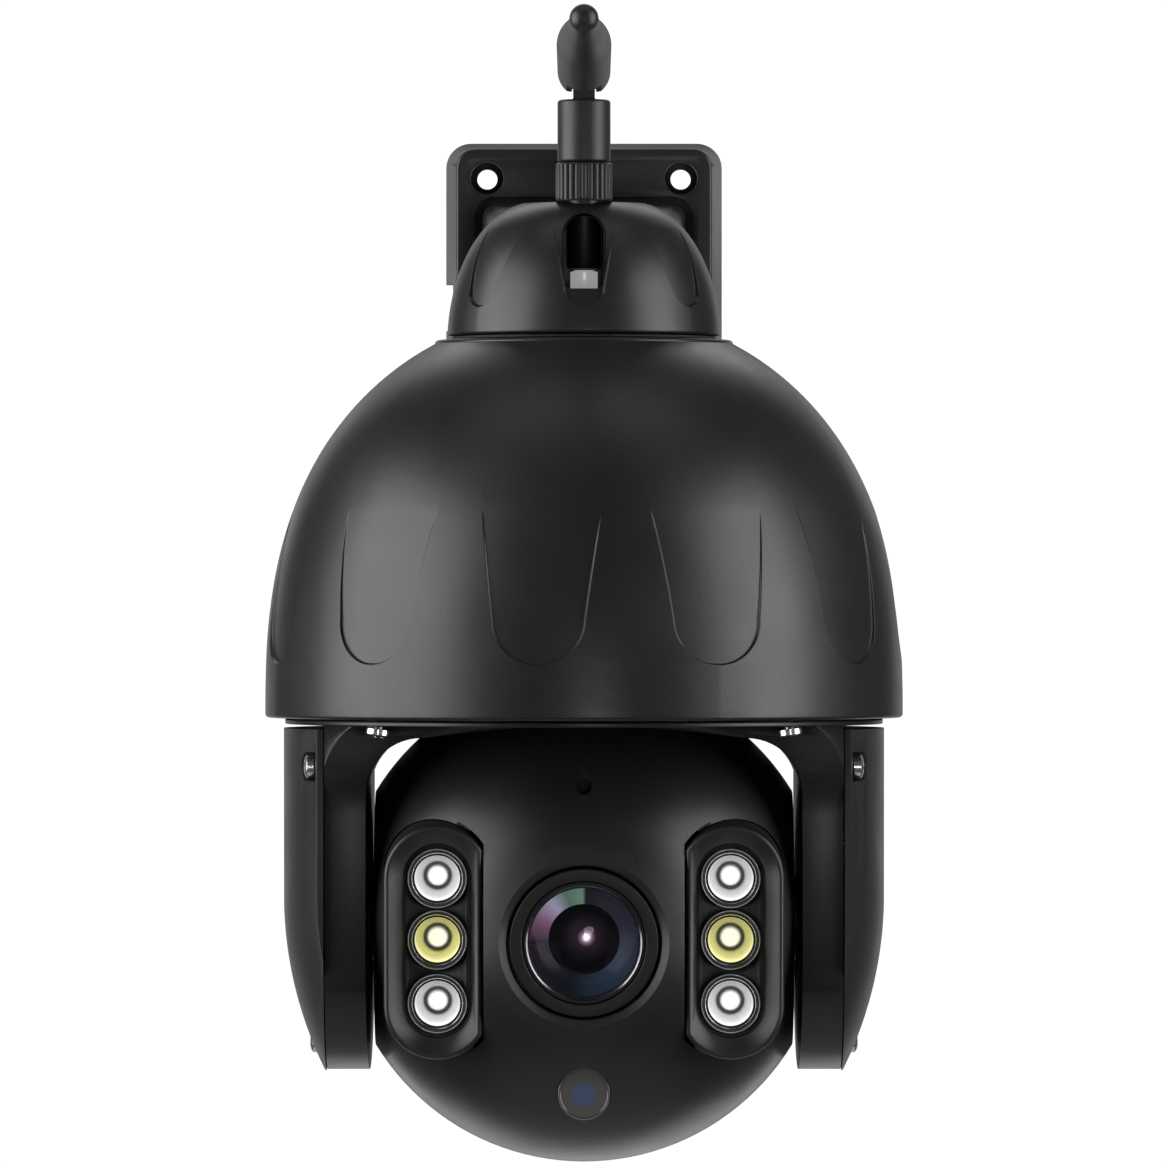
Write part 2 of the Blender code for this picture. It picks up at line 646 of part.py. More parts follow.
def build_cover(name, side_x, pan):
    cover = cover_block(name, side_x, 0.0, COVER_SEAM_X, "black_plastic", pan)
    hollow = cover_block("cut_" + name, side_x, COVER_WALL, COVER_SEAM_X - 0.003, None, pan)
    for index, (y, z) in enumerate(COVER_SCREWS):
        post = rod(f"keep_{name}_post_{index}", 0.0046, 0.06, (side_x * 0.065, y, z), "X", None, 12, parent=pan)
        boolean(hollow, post)
    boolean(cover, hollow)
    for index, (y, z) in enumerate(COVER_SCREWS):
        depth = 0.02
        middle = side_x * (SCREW_SEATS[index] + depth / 2)
        boolean(cover, rod(f"cut_{name}_seat_{index}", 0.0036, depth, (middle, y, z), "X", None, 16, parent=pan))
        boolean(cover, rod(f"cut_{name}_hole_{index}", 0.0019, 0.03, (side_x * 0.065, y, z), "X", None, 10,
                           parent=pan))
    for index, (y, z) in enumerate(COVER_SCREWS[:2]):
        depth = 0.02
        sign = -1 if y < 0 else 1
        middle = (side_x * (SCREW_SEATS[index] + depth / 2), y + sign * 0.004, z)
        boolean(cover, box(f"cut_{name}_notch_{index}", (depth, 0.008, 0.0072), middle, None, parent=pan))


def build_cover_screws(pan):
    number = 1
    for side_x in (-1, 1):
        for (y, z), seat in zip(COVER_SCREWS, SCREW_SEATS):
            pan_head_screw(f"cover_screw_{number}", 0.0030, 0.0026, 0.0012, 0.0100, "steel",
                           place=(side_x * (seat + GAP), y, z), turn=(0, side_x * pi / 2, 0), parent=pan)
            number += 1


def build_yoke_screws(pan):
    number = 1
    for side_x in (-1, 1):
        for side_y in (-1, 1):
            place = (side_x * YOKE_SCREW_X, side_y * YOKE_SCREW_Y, DISC_TOP - DISC_THICK - GAP)
            pan_head_screw(f"yoke_screw_{number}", 0.0030, 0.0022, 0.0014, 0.0009, "steel",
                           place=place, turn=(pi, 0, 0), parent=pan)
            number += 1


def build_pan_group(pan):
    build_fork(pan)
    build_cover("cover_left", -1, pan)
    build_cover("cover_right", 1, pan)
    build_cover_screws(pan)
    build_yoke_screws(pan)
    outline = gear_outline(PAN_TEETH, PAN_MODULE, PAN_MOTOR_ANGLE * PAN_TEETH / (2 * pi))
    plate("pan_gear", [outline, circle(HUB_RADIUS + GAP, steps=32)], 0.004, "white_plastic",
          place=(0, 0, PAN_GEAR_Z), parent=pan)
    for name, side_x in (("left", -1), ("right", 1)):
        turn = (0, side_x * pi / 2, 0)
        ring("tilt_bearing_" + name, 0.0110, SHAFT_RADIUS + 0.0002, 0.0543, 0.0583, "steel", 24,
             place=(0, 0, TILT_Z), turn=turn, parent=pan)
    build_tilt_motor(pan)
    box("tilt_limit_switch", (0.006, 0.0128, 0.0065), (-0.0620, 0.0, TILT_Z + 0.0230), "black_plastic",
        bevel=0.0004, parent=pan)


def tilt_centre_distance():
    return TILT_MODULE * (TILT_TEETH + TILT_PINION_TEETH) / 2 + 0.0002


def build_tilt_motor(pan):
    height = TILT_Z + tilt_centre_distance()
    motor = rod("tilt_motor", 0.0075, 0.0062, (0.0687, 0, height), "X", "steel", 28, parent=pan)
    ears = stadium(0.009, 0.026)
    boolean(motor, plate("join_motor_ears", [ears], 0.0012, None, place=(0.0662, 0, height),
                         turn=(pi / 2, pi / 2, pi / 2), parent=pan), "UNION")
    boolean(motor, rod("join_motor_shaft", 0.0010, 0.0080, (0.0630, 0, height), "X", None, 12, parent=pan),
            "UNION")


def build_tilt_pinion(pan):
    height = TILT_Z + tilt_centre_distance()
    phase = 0.75 * TILT_PINION_TEETH + 0.5
    outline = gear_outline(TILT_PINION_TEETH, TILT_MODULE, phase)
    plate("tilt_pinion", [outline, circle(0.0013, steps=12)], 0.0034, "brass",
          place=(TILT_GEAR_X, 0, height), turn=SIDE_VIEW, parent=pan)


# ---------------------------------------------------------------- head

def ball_body(name, inset, front, finish, head):
    """Ball with flat sides, kept on one side of the seam plane and closed there."""
    bm = bmesh.new()
    tilt = Matrix.Rotation(pi / 2, 4, "X")
    bmesh.ops.create_uvsphere(bm, u_segments=20 if inset else 36, v_segments=12 if inset else 20,
                              radius=BALL_RADIUS - inset, matrix=tilt)
    keep_front = -1 if front else 1
    reach = 0.001 if inset else 0.0
    seam = SEAM_Y - keep_front * reach + (0.0 if front else GAP)
    cuts = [((BALL_FLAT_X - inset, 0, 0), (1, 0, 0)), ((inset - BALL_FLAT_X, 0, 0), (-1, 0, 0)),
            ((0, seam, 0), (0, -keep_front, 0))]
    for point, normal in cuts:
        geometry = bm.verts[:] + bm.edges[:] + bm.faces[:]
        result = bmesh.ops.bisect_plane(bm, geom=geometry, plane_co=point, plane_no=normal, clear_outer=True)
        rim = [item for item in result["geom_cut"] if isinstance(item, bmesh.types.BMEdge)]
        bmesh.ops.holes_fill(bm, edges=rim)
    return from_bmesh(name, bm, finish, parent=head)


def build_head_shells(head):
    front = ball_body("head_front_shell", 0.0, True, "black_paint", head)
    boolean(front, ball_body("cut_front_hollow", BALL_WALL, True, None, head))
    rear = ball_body("head_rear_shell", 0.0, False, "black_paint", head)
    boolean(rear, ball_body("cut_rear_hollow", BALL_WALL, False, None, head))
    mouth_depth = BALL_RADIUS - sqrt(BALL_RADIUS ** 2 - 0.0209 ** 2)
    mouth = [(0.0, BALL_RADIUS + 0.002), (0.0235, BALL_RADIUS + 0.002), (0.0209, BALL_RADIUS - mouth_depth),
             (LENS_BORE, BALL_RADIUS - mouth_depth - 0.0012), (LENS_BORE, 0.030), (0.0, 0.030)]
    boolean(front, turned("cut_lens_mouth", mouth, None, 32, closed=False, turn=(pi / 2, 0, 0), parent=head))
    for side_x in (-1, 1):
        opening = pod_outline(side_x, GAP)
        boolean(front, plate(f"cut_pod_{side_x}", [opening], 0.040, None, place=(0, -0.044, 0),
                             turn=FRONT_VIEW, parent=head))
        boolean(front, rod(f"cut_front_shaft_{side_x}", SHAFT_RADIUS + GAP, 0.010,
                           (side_x * BALL_FLAT_X, 0, 0), "X", None, 20, parent=head))
    boolean(front, rod("cut_sensor", SENSOR_RADIUS + GAP, 0.020, (0, -0.046, SENSOR_Z), "Y", None, 24,
                       parent=head))
    boolean(front, rod("cut_mic", MIC_RADIUS, 0.020, (0, -0.046, MIC_Z), "Y", None, 16, parent=head))


def build_shafts(head):
    for name, side_x in (("left", -1), ("right", 1)):
        profile = [(0.0030, 0.0635), (SHAFT_RADIUS, 0.0635), (SHAFT_RADIUS, 0.0537), (FLANGE_RADIUS, 0.0537),
                   (FLANGE_RADIUS, BALL_FLAT_X + GAP), (SHAFT_RADIUS, BALL_FLAT_X + GAP),
                   (SHAFT_RADIUS, 0.0440), (0.0030, 0.0440)]
        turned("tilt_shaft_" + name, profile, "steel", 20, turn=(0, side_x * pi / 2, 0), parent=head)
    upright = 0.25 * TILT_TEETH - HEAD_PITCH * TILT_TEETH / (2 * pi)
    outline = gear_outline(TILT_TEETH, TILT_MODULE, upright)
    plate("tilt_gear", [outline, circle(SHAFT_RADIUS + GAP, steps=28)], 0.0030, "white_plastic",
          place=(TILT_GEAR_X, 0, 0), turn=SIDE_VIEW, parent=head)


def build_lens(head):
    forward = {"turn": (pi / 2, 0, 0), "parent": head}
    barrel_out = LENS_BORE - 0.0006
    profile = [(0.0157, 0.0560), (barrel_out, 0.0560), (barrel_out, 0.0300), (0.0157, 0.0300)]
    turned("lens_barrel", profile, "black_plastic", 28, **forward)
    profile = [(0.0143, 0.0566), (0.0156, LENS_FRONT), (0.0176, LENS_FRONT), (barrel_out, 0.0566),
               (barrel_out, 0.0563), (0.0143, 0.0563)]
    turned("lens_retaining_ring", profile, "black_plastic", 28, **forward)
    steps = 4
    radius = 0.0260
    rim = asin(0.0139 / radius)
    dome = [(radius * sin(rim * i / steps), 0.0560 - radius * (1 - cos(rim * i / steps)))
            for i in range(steps + 1)]
    turned("lens_front_glass", dome + [(0.0139, 0.0480), (0.0, 0.0480)], "glass", 28, closed=False, **forward)
    profile = [(0.0063, 0.0465), (0.0135, 0.0465), (0.0135, 0.0400), (0.0063, 0.0400)]
    turned("zoom_group", profile, "gloss_plastic", 24, **forward)
    box("image_board", (0.038, 0.0016, 0.038), (0, -0.0288, 0), "board", parent=head)


def pod_outline(side_x, grow=0.0):
    """Stadium round the lamps, cut off straight on the side towards the lens."""
    radius = POD_RADIUS + grow
    reach = POD_HALF_HEIGHT - POD_RADIUS
    cut = acos((POD_X - POD_INNER_X + grow) / radius)
    upper = arc((0, POD_Z + reach), radius, cut, pi, 9)
    lower = arc((0, POD_Z - reach), radius, pi, 2 * pi - cut, 9)
    return [(side_x * (POD_X - x), z) for x, z in upper + lower]


def build_pods(head):
    for name, side_x in (("left", -1), ("right", 1)):
        centre = (side_x * POD_X, POD_Z)
        depth = POD_DEPTH
        pod = plate("led_pod_" + name, [pod_outline(side_x)], depth, "black_plastic",
                    place=(0, -POD_FRONT + depth / 2, 0), turn=FRONT_VIEW, parent=head)
        well = stadium(WINDOW_WIDTH, WINDOW_HEIGHT, centre)
        boolean(pod, plate("cut_well_" + name, [well], depth, None,
                           place=(0, -POD_FRONT - 0.003 + depth / 2, 0), turn=FRONT_VIEW, parent=head))
        board = stadium(WINDOW_WIDTH - 0.0006, WINDOW_HEIGHT - 0.0006, centre)
        board_y = -POD_FRONT + depth - 0.003 - GAP - 0.0006
        plate("led_board_" + name, [board], 0.0012, "board", place=(0, board_y, 0), turn=FRONT_VIEW, parent=head)
        for index, height in enumerate(LED_HEIGHTS, start=1):
            build_led(f"led_lens_{name}_{index}", (centre[0], board_y - 0.0006 - GAP, height),
                      "warm_clear" if index == 2 else "clear", head)


def build_led(name, place, finish, head):
    """Moulded lens over one lamp: a wide rim with a small dome in the middle."""
    height = 0.0085
    profile = [(0.0, height - 0.0008), (0.0028, height - 0.0016), (0.0036, height - 0.0038),
               (0.0062, height), (LED_RADIUS, height), (LED_RADIUS, height - 0.0012),
               (0.0040, 0.0), (0.0, 0.0)]
    turned(name, profile, finish, 14, closed=False, place=place, turn=(pi / 2, 0, 0), parent=head)


def build_small_head_parts(head):
    rod("light_sensor_window", SENSOR_RADIUS, 0.0080, (0, -SENSOR_FRONT + 0.0040, SENSOR_Z), "Y",
        "gloss_plastic", 24, parent=head)
    rod("microphone", 0.0030, 0.0025, (0, -0.0383, MIC_Z - 0.0010), "Y", "steel", 16, parent=head)
    frame_outer = rounded_rectangle(0.092, 0.030, 0.004)
    plate("head_frame", [frame_outer], 0.0020, "steel", place=(0, 0.0075, 0.0), turn=FRONT_VIEW, parent=head)


def build_head(head):
    build_head_shells(head)
    build_shafts(head)
    build_lens(head)
    build_pods(head)
    build_small_head_parts(head)


# ---------------------------------------------------------------- antenna

def build_antenna(swivel, fold):
    jack_low = -0.0060
    profile = [(0.0, 0.0060), (0.0034, 0.0060), (0.0034, SLOT_BOTTOM + GAP), (0.0024, SLOT_BOTTOM + GAP),
               (0.0024, jack_low), (0.0, jack_low)]
    turned("antenna_jack", profile, "brass", 16, closed=False, place=(0, ANTENNA_Y, 0))
    nut_low = CAP_TOP + GAP
    stem_low = 0.0060 + GAP
    profile = [(0.0, NUT_TOP), (NUT_RADIUS - 0.0004, NUT_TOP), (NUT_RADIUS, NUT_TOP - 0.0005),
               (NUT_RADIUS, nut_low + 0.0004), (NUT_RADIUS - 0.0003, nut_low), (STEM_RADIUS, nut_low),
               (STEM_RADIUS, stem_low), (0.0, stem_low)]
    turned("antenna_nut", profile, "black_plastic", 20, closed=False, place=(0, ANTENNA_Y, 0))
    build_antenna_foot(swivel)
    build_whip(fold)


def build_antenna_foot(swivel):
    neck_top = FOOT_TOP + 0.0005
    profile = [(0.0, neck_top), (0.0029, neck_top), (0.0029, FOOT_TOP), (FOOT_RADIUS - 0.0004, FOOT_TOP),
               (FOOT_RADIUS, FOOT_TOP - 0.0005), (FOOT_RADIUS, NUT_TOP + GAP), (0.0, NUT_TOP + GAP)]
    neck = turned("antenna_base", profile, "black_plastic", 20, closed=False, place=(0, ANTENNA_Y, 0))
    tongue = [(-0.0024, -0.0085), (0.0024, -0.0085)] + arc((0, 0), 0.0042, -0.6, pi + 0.6, 8)
    boolean(neck, plate("join_tongue", [tongue], 2 * TONGUE_HALF, None, turn=SIDE_VIEW, parent=swivel), "UNION")
    boolean(neck, rod("cut_tongue_bore", 0.0013, 0.02, (0, 0, 0), "X", None, 12, parent=swivel))


def build_whip(fold):
    rod("antenna_pin", 0.0010, 0.0100, (0, 0, 0), "X", "steel", 14, parent=fold)
    whip = turned("antenna_whip", whip_profile(), "black_plastic", 20, closed=False,
                  turn=(pi / 2, 0, 0), parent=fold)
    slot = box("cut_whip_slot", (2 * TONGUE_HALF + 0.0006, 0.020, 0.030), (0, 0.0035, 0), None, parent=fold)
    boolean(whip, slot)
    flat = box("cut_whip_flat", (0.020, 0.030, 0.004), (0, -0.007, -WHIP_FLAT - 0.002), None, parent=fold)
    boolean(whip, flat)
    boolean(whip, rod("cut_whip_bore", 0.0013, 0.0106, (0, 0, 0), "X", None, 14, parent=fold))


def whip_profile():
    """Round hinge end, straight thick part, shouldered taper and a round tip."""
    end = WHIP_RADIUS * 0.92
    points = [(0.0, WHIP_LENGTH)]
    for i in range(1, 4):
        angle = pi / 2 * (1 - i / 4)
        points.append((WHIP_TIP_RADIUS * cos(angle), WHIP_LENGTH - WHIP_TIP_RADIUS * (1 - sin(angle))))
    points.append((WHIP_TIP_RADIUS, WHIP_LENGTH - WHIP_TIP_RADIUS))
    points += WHIP_TAPER
    points.append((WHIP_RADIUS, 0.0))
    for i in range(1, 4):
        angle = pi / 2 * i / 4
        points.append((WHIP_RADIUS * cos(angle), -end * sin(angle)))
    return points + [(0.0, -end)]


# ---------------------------------------------------------------- assembly

clear_scene()
PARTS = collection("security_camera")
CUTTERS = collection("cutters")


def main():
    pan = axis_empty("pan_axis", (0, PAN_Y, 0))
    head = axis_empty("tilt_axis", (0, 0, TILT_Z), (HEAD_PITCH, 0, 0), parent=pan)
    swivel = axis_empty("antenna_swivel_axis", (0, ANTENNA_Y, FOLD_Z))
    fold = axis_empty("antenna_fold_axis", (0, 0, 0), (-ANTENNA_RISE, 0, 0), parent=swivel)
    build_wall_base()
    build_bracket_arm()
    build_arm_screws()
    build_dome()
    build_chassis()
    build_pan_pinion()
    build_pan_group(pan)
    build_tilt_pinion(pan)
    build_head(head)
    build_antenna(swivel, fold)


main()
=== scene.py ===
"""Wall mounted pan and tilt security camera: the finished surfaces around its working frame.

Every piece is made in the frame's own metres and rides on one of its bodies.
"""
import json
from math import acos, asin, atan2, ceil, cos, pi, radians, sin, sqrt, tau

import bmesh
import bpy
from bpy.props import FloatProperty, FloatVectorProperty, IntProperty, PointerProperty
from mathutils import Matrix, Vector


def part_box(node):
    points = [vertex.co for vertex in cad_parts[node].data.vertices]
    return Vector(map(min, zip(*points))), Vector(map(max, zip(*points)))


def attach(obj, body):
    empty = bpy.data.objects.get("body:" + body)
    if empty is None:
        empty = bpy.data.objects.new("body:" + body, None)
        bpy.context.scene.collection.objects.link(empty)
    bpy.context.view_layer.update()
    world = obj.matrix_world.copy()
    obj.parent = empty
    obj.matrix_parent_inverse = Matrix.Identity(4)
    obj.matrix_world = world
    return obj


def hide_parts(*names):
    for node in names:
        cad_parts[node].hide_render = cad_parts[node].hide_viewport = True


bl_info = {
    "name": "Security Camera",
    "version": (1, 0, 0),
    "blender": (4, 5, 0),
    "location": "View3D > Sidebar > Camera",
    "description": "Builds the finished surfaces of a pan and tilt security camera",
    "category": "Add Mesh",
}

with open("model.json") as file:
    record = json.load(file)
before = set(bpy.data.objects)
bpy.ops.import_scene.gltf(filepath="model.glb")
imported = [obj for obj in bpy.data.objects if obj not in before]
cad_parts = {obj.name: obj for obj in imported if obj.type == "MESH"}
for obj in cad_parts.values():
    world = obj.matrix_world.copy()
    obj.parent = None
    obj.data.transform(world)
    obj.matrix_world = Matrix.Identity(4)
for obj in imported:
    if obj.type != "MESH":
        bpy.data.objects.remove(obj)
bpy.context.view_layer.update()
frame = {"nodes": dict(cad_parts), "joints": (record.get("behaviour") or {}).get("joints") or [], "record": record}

JOINTS = {joint["name"]: joint for joint in frame["joints"]}
PAN = Vector(JOINTS["pan"]["pos_m"])
TILT = Vector(JOINTS["tilt"]["pos_m"])
FOLD = Vector(JOINTS["antenna_fold"]["pos_m"])
LENS_WAY = Vector(JOINTS["zoom"]["axis"])
PITCH = atan2(-LENS_WAY.z, -LENS_WAY.y)

MM = 0.001
AT_PAN = Matrix.Translation((0.0, PAN.y, 0.0))
AT_TILT = Matrix.Translation(TILT)
AT_HEAD = AT_TILT @ Matrix.Rotation(PITCH, 4, "X")
AT_MAST = Matrix.Translation((0.0, FOLD.y, 0.0))
FORWARD = Matrix.Rotation(pi / 2, 4, "X")          # local Z points to the front
SIDEWAYS = {side: Matrix.Rotation(side * pi / 2, 4, "Y") for side in (-1, 1)}


def size_of(node):
    low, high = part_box(node)
    return high - low


# ---------------------------------------------------------------- settings

def metres(name, description, default):
    return FloatProperty(name=name, description=description, default=default, min=0.0, unit="LENGTH",
                         subtype="DISTANCE", precision=5)


def colour(name, description, default):
    return FloatVectorProperty(name=name, description=description, default=default, size=3, min=0.0, max=1.0,
                               subtype="COLOR")


class CameraSizes(bpy.types.PropertyGroup):
    """Sizes of the details that the frame leaves to the finished surfaces."""
    dome_recess: metres("Dome recess", "Depth of the petal shaped recesses in the dome", 0.85 * MM)
    cap_recess: metres("Cap recess", "Depth of the petal shaped recesses in the cap", 0.95 * MM)
    petal_edge: metres("Petal edge", "Half width of the soft edge round a petal", 0.20 * MM)
    casting_edge: metres("Casting edge", "Rounding along the edges of the castings", 1.1 * MM)
    cover_edge: metres("Cover edge", "Rounding along the edges of the covers", 0.9 * MM)
    knurl_depth: metres("Knurl depth", "Depth of the grooves round the antenna nut", 0.5 * MM)
    lamp_depth: metres("Lamp depth", "Depth of a lamp's reflector cup", 8.0 * MM)
    lamp_radius: metres("Lamp radius", "Outer radius of a lamp's clear rim", 7.35 * MM)
    pod_slope: metres("Pod slope", "How far the pod's inner wall slopes down to the lamps", 3.4 * MM)
    dome_petals: IntProperty(name="Dome petals", description="Recesses round the dome", default=11, min=3)
    cap_petals: IntProperty(name="Cap petals", description="Recesses round the cap", default=7, min=3)
    knurls: IntProperty(name="Knurls", description="Grooves round the antenna nut", default=26, min=8)


class CameraColours(bpy.types.PropertyGroup):
    """Colours of the finishes."""
    coat: colour("Coat", "Powder coat of the castings", (0.0105, 0.0105, 0.0112))
    moulded: colour("Moulded", "Black plastic of the covers and pods", (0.0115, 0.0115, 0.012))
    whip: colour("Antenna", "Black plastic of the antenna", (0.015, 0.015, 0.016))
    lens_black: colour("Lens black", "Anodised rings of the lens", (0.009, 0.009, 0.0095))
    steel: colour("Steel", "Bright plated screws", (0.78, 0.78, 0.80))
    nickel: colour("Nickel", "Antenna connector", (0.72, 0.72, 0.75))
    board: colour("Board", "Solder mask of the circuit boards", (0.02, 0.12, 0.05))
    brass: colour("Brass", "Pinions and standoffs", (0.72, 0.52, 0.22))
    nylon: colour("Nylon", "Large gears", (0.80, 0.79, 0.74))
    backdrop: colour("Backdrop", "Floor and surroundings", (0.93, 0.93, 0.93))


class StudioSettings(bpy.types.PropertyGroup):
    """Lights and camera distance."""
    left_power: FloatProperty(name="Left light", description="Power of the left softbox", default=15.7, unit="POWER")
    right_power: FloatProperty(name="Right light", description="Power of the right softbox", default=10.2,
                               unit="POWER")
    top_power: FloatProperty(name="Top light", description="Power of the light above and behind", default=3.5,
                             unit="POWER")
    low_power: FloatProperty(name="Low light", description="Power of the light under the head", default=2.0,
                             unit="POWER")
    rim_power: FloatProperty(name="Rim lights", description="Power of the strips behind the camera's sides",
                             default=0.9, unit="POWER")
    front_power: FloatProperty(name="Front light", description="Power of the small light in front", default=3.0,
                               unit="POWER")
    distance: metres("Camera distance", "Distance from the camera to the pan axis", 2.575)
    eye_height: FloatProperty(name="Eye height", description="Camera height in the frame", default=-0.072,
                              unit="LENGTH", subtype="DISTANCE")


def sizes():
    return bpy.context.scene.camera_sizes


def colours():
    return bpy.context.scene.camera_colours


# ---------------------------------------------------------------- mesh tools

def in_mm(*points, level=0.0):
    """A profile or outline given in millimetres, in metres; its heights start from a level."""
    return [(a * MM, level + b * MM) for a, b in points]


def mesh_from(name, vertices, faces, matrix=None, sharp=35.0):
    mesh = bpy.data.meshes.new(name)
    mesh.from_pydata([tuple(v) for v in vertices], [], faces)
    if matrix is not None:
        mesh.transform(matrix)
    return adopt(name, mesh, sharp)


def adopt(name, mesh, sharp=35.0):
    """New object for a mesh, with its faces turned outwards and smooth shading."""
    work = bmesh.new()
    work.from_mesh(mesh)
    bmesh.ops.remove_doubles(work, verts=work.verts[:], dist=1e-7)
    bmesh.ops.recalc_face_normals(work, faces=work.faces[:])
    work.to_mesh(mesh)
    work.free()
    mesh.shade_smooth()
    mesh.set_sharp_from_angle(angle=radians(sharp))
    piece = bpy.data.objects.new(name, mesh)
    bpy.context.scene.collection.objects.link(piece)
    return piece


def rings_mesh(name, rings, matrix=None, closed=False, sharp=35.0):
    """Skin over rings of equal length; a ring of one point is a pole."""
    vertices = []
    starts = []
    for ring in rings:
        starts.append((len(vertices), len(ring)))
        vertices.extend(ring)
    faces = []
    pairs = list(zip(starts, starts[1:]))
    if closed:
        pairs.append((starts[-1], starts[0]))
    for (a, count_a), (b, count_b) in pairs:
        count = max(count_a, count_b)
        for i in range(count):
            j = (i + 1) % count
            if count_a == 1:
                faces.append((a, b + i, b + j))
            elif count_b == 1:
                faces.append((a + i, b, a + j))
            else:
                faces.append((a + i, b + i, b + j, a + j))
    if not closed:
        for start, count in (starts[0], starts[-1]):
            if count > 1:
                faces.append(tuple(range(start, start + count)))
    return mesh_from(name, vertices, faces, matrix, sharp)


def lathe(name, profile, matrix, steps=96, closed=False, sharp=35.0, wobble=None):
    """Turns a profile of (radius, height) about local Z; wobble moves a radius by angle and height."""
    rings = []
    for radius, height in profile:
        if radius < 1e-6:
            rings.append([(0.0, 0.0, height)])
            continue
        ring = []
        for i in range(steps):
            angle = tau * i / steps
            reach = radius - (wobble(angle, radius, height) if wobble else 0.0)
            ring.append((reach * cos(angle), reach * sin(angle), height))
        rings.append(ring)
    return rings_mesh(name, rings, matrix, closed, sharp)


def eased(points, radius, closed=False, steps=4):
    """Rounds the corners of a profile; the ends of an open one stay."""
    result = []
    count = len(points)
    for i, point in enumerate(points):
        if not closed and i in (0, count - 1):
            result.append(tuple(point))
            continue
        here = Vector(point)
        before = Vector(points[i - 1]) - here
        after = Vector(points[(i + 1) % count]) - here
        if before.length < 1e-9 or after.length < 1e-9:
            result.append(tuple(point))
            continue
        reach = min(radius, before.length * 0.45, after.length * 0.45)
        start = here + before.normalized() * reach
        end = here + after.normalized() * reach
        if abs(before.normalized().dot(after.normalized())) > 0.995:
            result.append(tuple(point))
            continue
        for k in range(steps + 1):
            t = k / steps
            spot = start * (1 - t) ** 2 + here * 2 * t * (1 - t) + end * t ** 2
            result.append(tuple(spot))
    return result


def arc(centre, radius, start, end, steps):
    cx, cy = centre
    angles = [start + (end - start) * i / steps for i in range(steps + 1)]
    return [(cx + radius * cos(a), cy + radius * sin(a)) for a in angles]


def rounded_rectangle(width, height, radius, centre=(0.0, 0.0), steps=8):
    cx, cy = centre
    points = []
    for quarter in range(4):
        side_x = 1 if quarter in (0, 3) else -1
        side_y = 1 if quarter in (0, 1) else -1
        middle = (cx + side_x * (width / 2 - radius), cy + side_y * (height / 2 - radius))
        points += arc(middle, radius, quarter * pi / 2, (quarter + 1) * pi / 2, steps)
    return points


def front_ring(outline, y):
    return [(x, y, z) for x, z in outline]


def side_ring(outline, x):
    return [(x, y, z) for y, z in outline]


def slab(name, outline, low, high, facing="front", matrix=None):
    """Prism between two planes across the front (X, Z) or the side (Y, Z) view."""
    ring = front_ring if facing == "front" else side_ring
    return rings_mesh(name, [ring(outline, low), ring(outline, high)], matrix)


def drum(name, radius, low, high, matrix, steps=64):
    return lathe(name, [(0.0, high), (radius, high), (radius, low), (0.0, low)], matrix, steps)


def cut(piece, tool, operation="DIFFERENCE"):
    """Cuts, joins or trims a piece with a tool, which is used up."""
    modifier = piece.modifiers.new("cut", "BOOLEAN")
    modifier.operation = operation
    modifier.object = tool
    modifier.solver = "EXACT"
    settle(piece)
    bpy.data.objects.remove(tool, do_unlink=True)
    return piece


def settle(piece):
    """Replaces a piece's mesh with what its modifiers make of it."""
    bpy.context.view_layer.update()
    graph = bpy.context.evaluated_depsgraph_get()
    mesh = bpy.data.meshes.new_from_object(piece.evaluated_get(graph))
    piece.modifiers.clear()
    old = piece.data
    piece.data = mesh
    bpy.data.meshes.remove(old)
    return piece


def shade_edges(piece, angle):
    """Smooth shading that breaks at edges sharper than the angle, in degrees."""
    piece.data.shade_smooth()
    piece.data.set_sharp_from_angle(angle=radians(angle))


def soften(piece, width, segments=3, angle=38.0):
    """Rounds every edge that is sharper than the angle."""
    work = bmesh.new()
    work.from_mesh(piece.data)
    bmesh.ops.dissolve_limit(work, angle_limit=radians(0.8), verts=work.verts[:], edges=work.edges[:])
    work.to_mesh(piece.data)
    work.free()
    bevel = piece.modifiers.new("edges", "BEVEL")
    bevel.width = width
    bevel.segments = segments
    bevel.limit_method = "ANGLE"
    bevel.angle_limit = radians(angle)
    bevel.miter_outer = "MITER_ARC"
    bevel.use_clamp_overlap = True
    settle(piece)
    shade_edges(piece, 50)
    return piece


def fit(piece, body, slot, material, *nodes):
    """Gives a piece its finish and its body, and hides the nodes that it stands for."""
    piece.data.materials.clear()
    piece.data.materials.append(material)
    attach(piece, body)
    if nodes:
        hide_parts(*nodes)
    return piece


# ---------------------------------------------------------------- finishes

def new_material(name):
    material = bpy.data.materials.get(name)
    if material:
        return material, None
    material = bpy.data.materials.new(name)
    material.use_nodes = True
    return material, material.node_tree


def noise_texture(tree, coordinates, scale, detail=3.0, roughness=0.55):
    node = tree.nodes.new("ShaderNodeTexNoise")
    node.inputs["Scale"].default_value = scale
    node.inputs["Detail"].default_value = detail
    node.inputs["Roughness"].default_value = roughness
    tree.links.new(coordinates, node.inputs["Vector"])
    return node.outputs["Fac"]


def object_coordinates(tree, stretch=(1.0, 1.0, 1.0)):
    source = tree.nodes.new("ShaderNodeTexCoord")
    mapping = tree.nodes.new("ShaderNodeMapping")
    mapping.inputs["Scale"].default_value = stretch
    tree.links.new(source.outputs["Object"], mapping.inputs["Vector"])
    return mapping.outputs["Vector"]


def remap(tree, value, low, high, new_low, new_high):
    node = tree.nodes.new("ShaderNodeMapRange")
    node.inputs["From Min"].default_value = low
    node.inputs["From Max"].default_value = high
    node.inputs["To Min"].default_value = new_low
    node.inputs["To Max"].default_value = new_high
    tree.links.new(value, node.inputs["Value"])
    return node.outputs["Result"]


